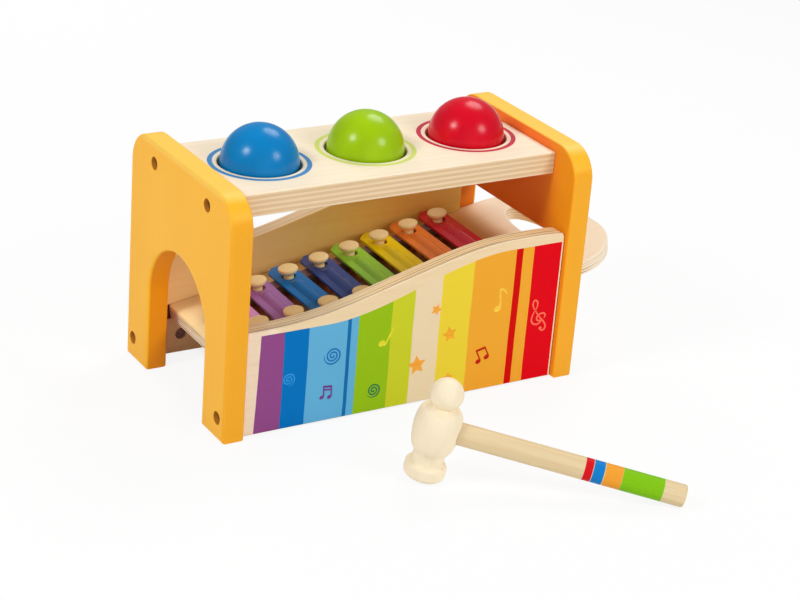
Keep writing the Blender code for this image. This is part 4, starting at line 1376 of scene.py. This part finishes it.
CLEF = (
    ((88.6, 44.9), (86.7, 47.5), (85.7, 50.3), (86.3, 52.4), (87.6, 52.6), (89.0, 51.0), (88.8, 48.2),
     (87.6, 45.8)),
    ((87.6, 45.8), (86.1, 43.0), (85.7, 40.0), (87.1, 37.6), (90.0, 36.8), (92.2, 37.9), (92.9, 39.6)),
    ((92.9, 39.6), (91.6, 38.9), (89.8, 39.6), (89.4, 41.4), (91.0, 43.1), (93.8, 43.5), (95.3, 42.0),
     (94.6, 40.2)),
    ((88.6, 44.9), (91.3, 41.3), (94.6, 37.8), (96.1, 34.9), (95.5, 32.8), (93.6, 32.3), (92.6, 33.9)),
)
print("the clef has", len(CLEF), "strokes")

# %% The scatter
def sign_ink(name, colour):
    """Ink that lets a little of the grain through."""
    tones = (colour, toned(colour, 1.12, 0.02))
    return mottled(f"ink_{name}", ((0.02, 0.4, 0.5), 3, 0.6, 23), (0.4, 0.8), tones, (0.36, 0.12),
                   specular_ior_level=INK_SHINE)


SKY, DEEP, PINE = screen(44, 148, 218), screen(16, 108, 180), screen(24, 116, 70)
PLUM, LEMON, AMBER = screen(112, 54, 136), screen(228, 220, 52), screen(248, 166, 56)
GOLD, SUN, SCARLET = screen(240, 170, 46), screen(250, 204, 70), screen(190, 22, 10)
CORAL = screen(255, 112, 84)
SIGNS = (
    ("spiral_sky", SKY, spiral(-76.0, 31.0, 4.2, 2.3, 0.9, 20)),
    ("spiral_deep", DEEP, spiral(-48.5, 41.0, 5.6, 2.7, 0.95, 60)),
    ("notes_plum", PLUM, beamed_notes(
        ((-54.0, 15.8), (-49.1, 15.3)), ((-53.0, 22.6), (-48.1, 22.0)), 1.5, ((0.2, 1.3), (2.2, 1.0)))),
    ("spiral_pine", PINE, spiral(-20.2, 14.0, 4.6, 2.5, 0.9, 35)),
    ("note_lemon", LEMON, single_note(
        (-16.9, 43.0), 2.3, [(-15.6, 41.4), (-14.4, 42.2), (-9.6, 51.7)], (), 1.2)),
    ("star_amber", AMBER, star(7.9, 24.8, 6.2, 78)),
    ("star_small", AMBER, star(18.1, 58.2, 3.7, 48)),
    ("star_gold", GOLD, star(28.7, 40.9, 5.2, 12)),
    ("star_low", GOLD, star(30.0, 12.6, 3.8, 0)),
    ("note_sun", SUN, single_note(
        (60.5, 51.7), 2.4, [(62.4, 52.2), (61.3, 64.0)], ((61.3, 64.0), (64.0, 63.2), (66.3, 60.2)), 1.1)),
    ("notes_scarlet", SCARLET, beamed_notes(
        ((50.4, 19.4), (56.0, 21.5)), ((48.6, 26.4), (54.4, 27.9)), 1.9, ((0.0, 1.5),))),
    ("clef_coral", CORAL, clef(CLEF, 0.95)),
)
for name, colour, shapes in SIGNS:
    place(f"print_{name}", joined(shapes), sign_ink(name, colour), "bench")
print("printed signs:", len(SIGNS))

# %% [markdown]
# ## Floor and surroundings
#
# The toy stands on white paper. A large pale disc is the floor. To the camera it is mostly plain white,
# as the paper was in the photo, but part of it is a real lit surface, so the soft shadow stays. Under the
# bench it is only the lit surface, because there it lies in the dark. The world is pale and fills the shade.

# %% Floor
WHITE_SHARE = 0.88
FLOOR_RADIUS = 4.0


def seen_by_eye_or_gloss():
    """1 for what the camera sees, straight or in a mirror, and 0 for light on its way to a surface."""
    rays = ("Is Camera Ray", "Is Glossy Ray", "Is Transmission Ray")
    first, second, third = (Value.node("LightPath", None, None, name) for name in rays)
    return first.math("MAXIMUM", second).math("MAXIMUM", third)


paper = bpy.data.materials.new("white_paper")
paper.use_nodes = True
Value.tree = paper.node_tree
spot = Value.node("NewGeometry", None, None, "Position") - tuple(middle)
along, aside = spot.axis("X"), abs(spot.axis("Y"))
under = along.ease(-0.080, -0.050) * (1 - along.ease(0.100, 0.117)) * (1 - aside.ease(0.050, 0.062))
lit = Value.node("BsdfDiffuse", None, {"Color": (0.9, 0.9, 0.9, 1.0)})
plain = Value.node("Emission", None, {"Color": (1.0, 1.0, 1.0, 1.0), "Strength": 1.0})
share = seen_by_eye_or_gloss() * (1 - under) * WHITE_SHARE
mixed = Value.node("MixShader", None, {0: share, 1: lit, 2: plain})
Value.plug(paper.node_tree.nodes["Material Output"].inputs["Surface"], mixed)

disc = bmesh.new()
bmesh.ops.create_circle(disc, cap_ends=True, segments=128, radius=FLOOR_RADIUS)
floor = shown("paper_floor", mesh_of(disc, "paper_floor"))
floor.data.materials.append(paper)
print("floor laid,", 2 * FLOOR_RADIUS, "m wide")

# %% World
ROOM_LIGHT = 0.30
world = bpy.data.worlds.new("white_room")
world.use_nodes = True
bpy.context.scene.world = world
room = world.node_tree.nodes["Background"]
room.inputs["Color"].default_value = (1.0, 1.0, 1.0, 1.0)
room.inputs["Strength"].default_value = ROOM_LIGHT
bpy.context.scene.view_settings.view_transform = "Standard"
print("the room gives", ROOM_LIGHT)

# %% [markdown]
# ## Dressing must not change the toy's size.
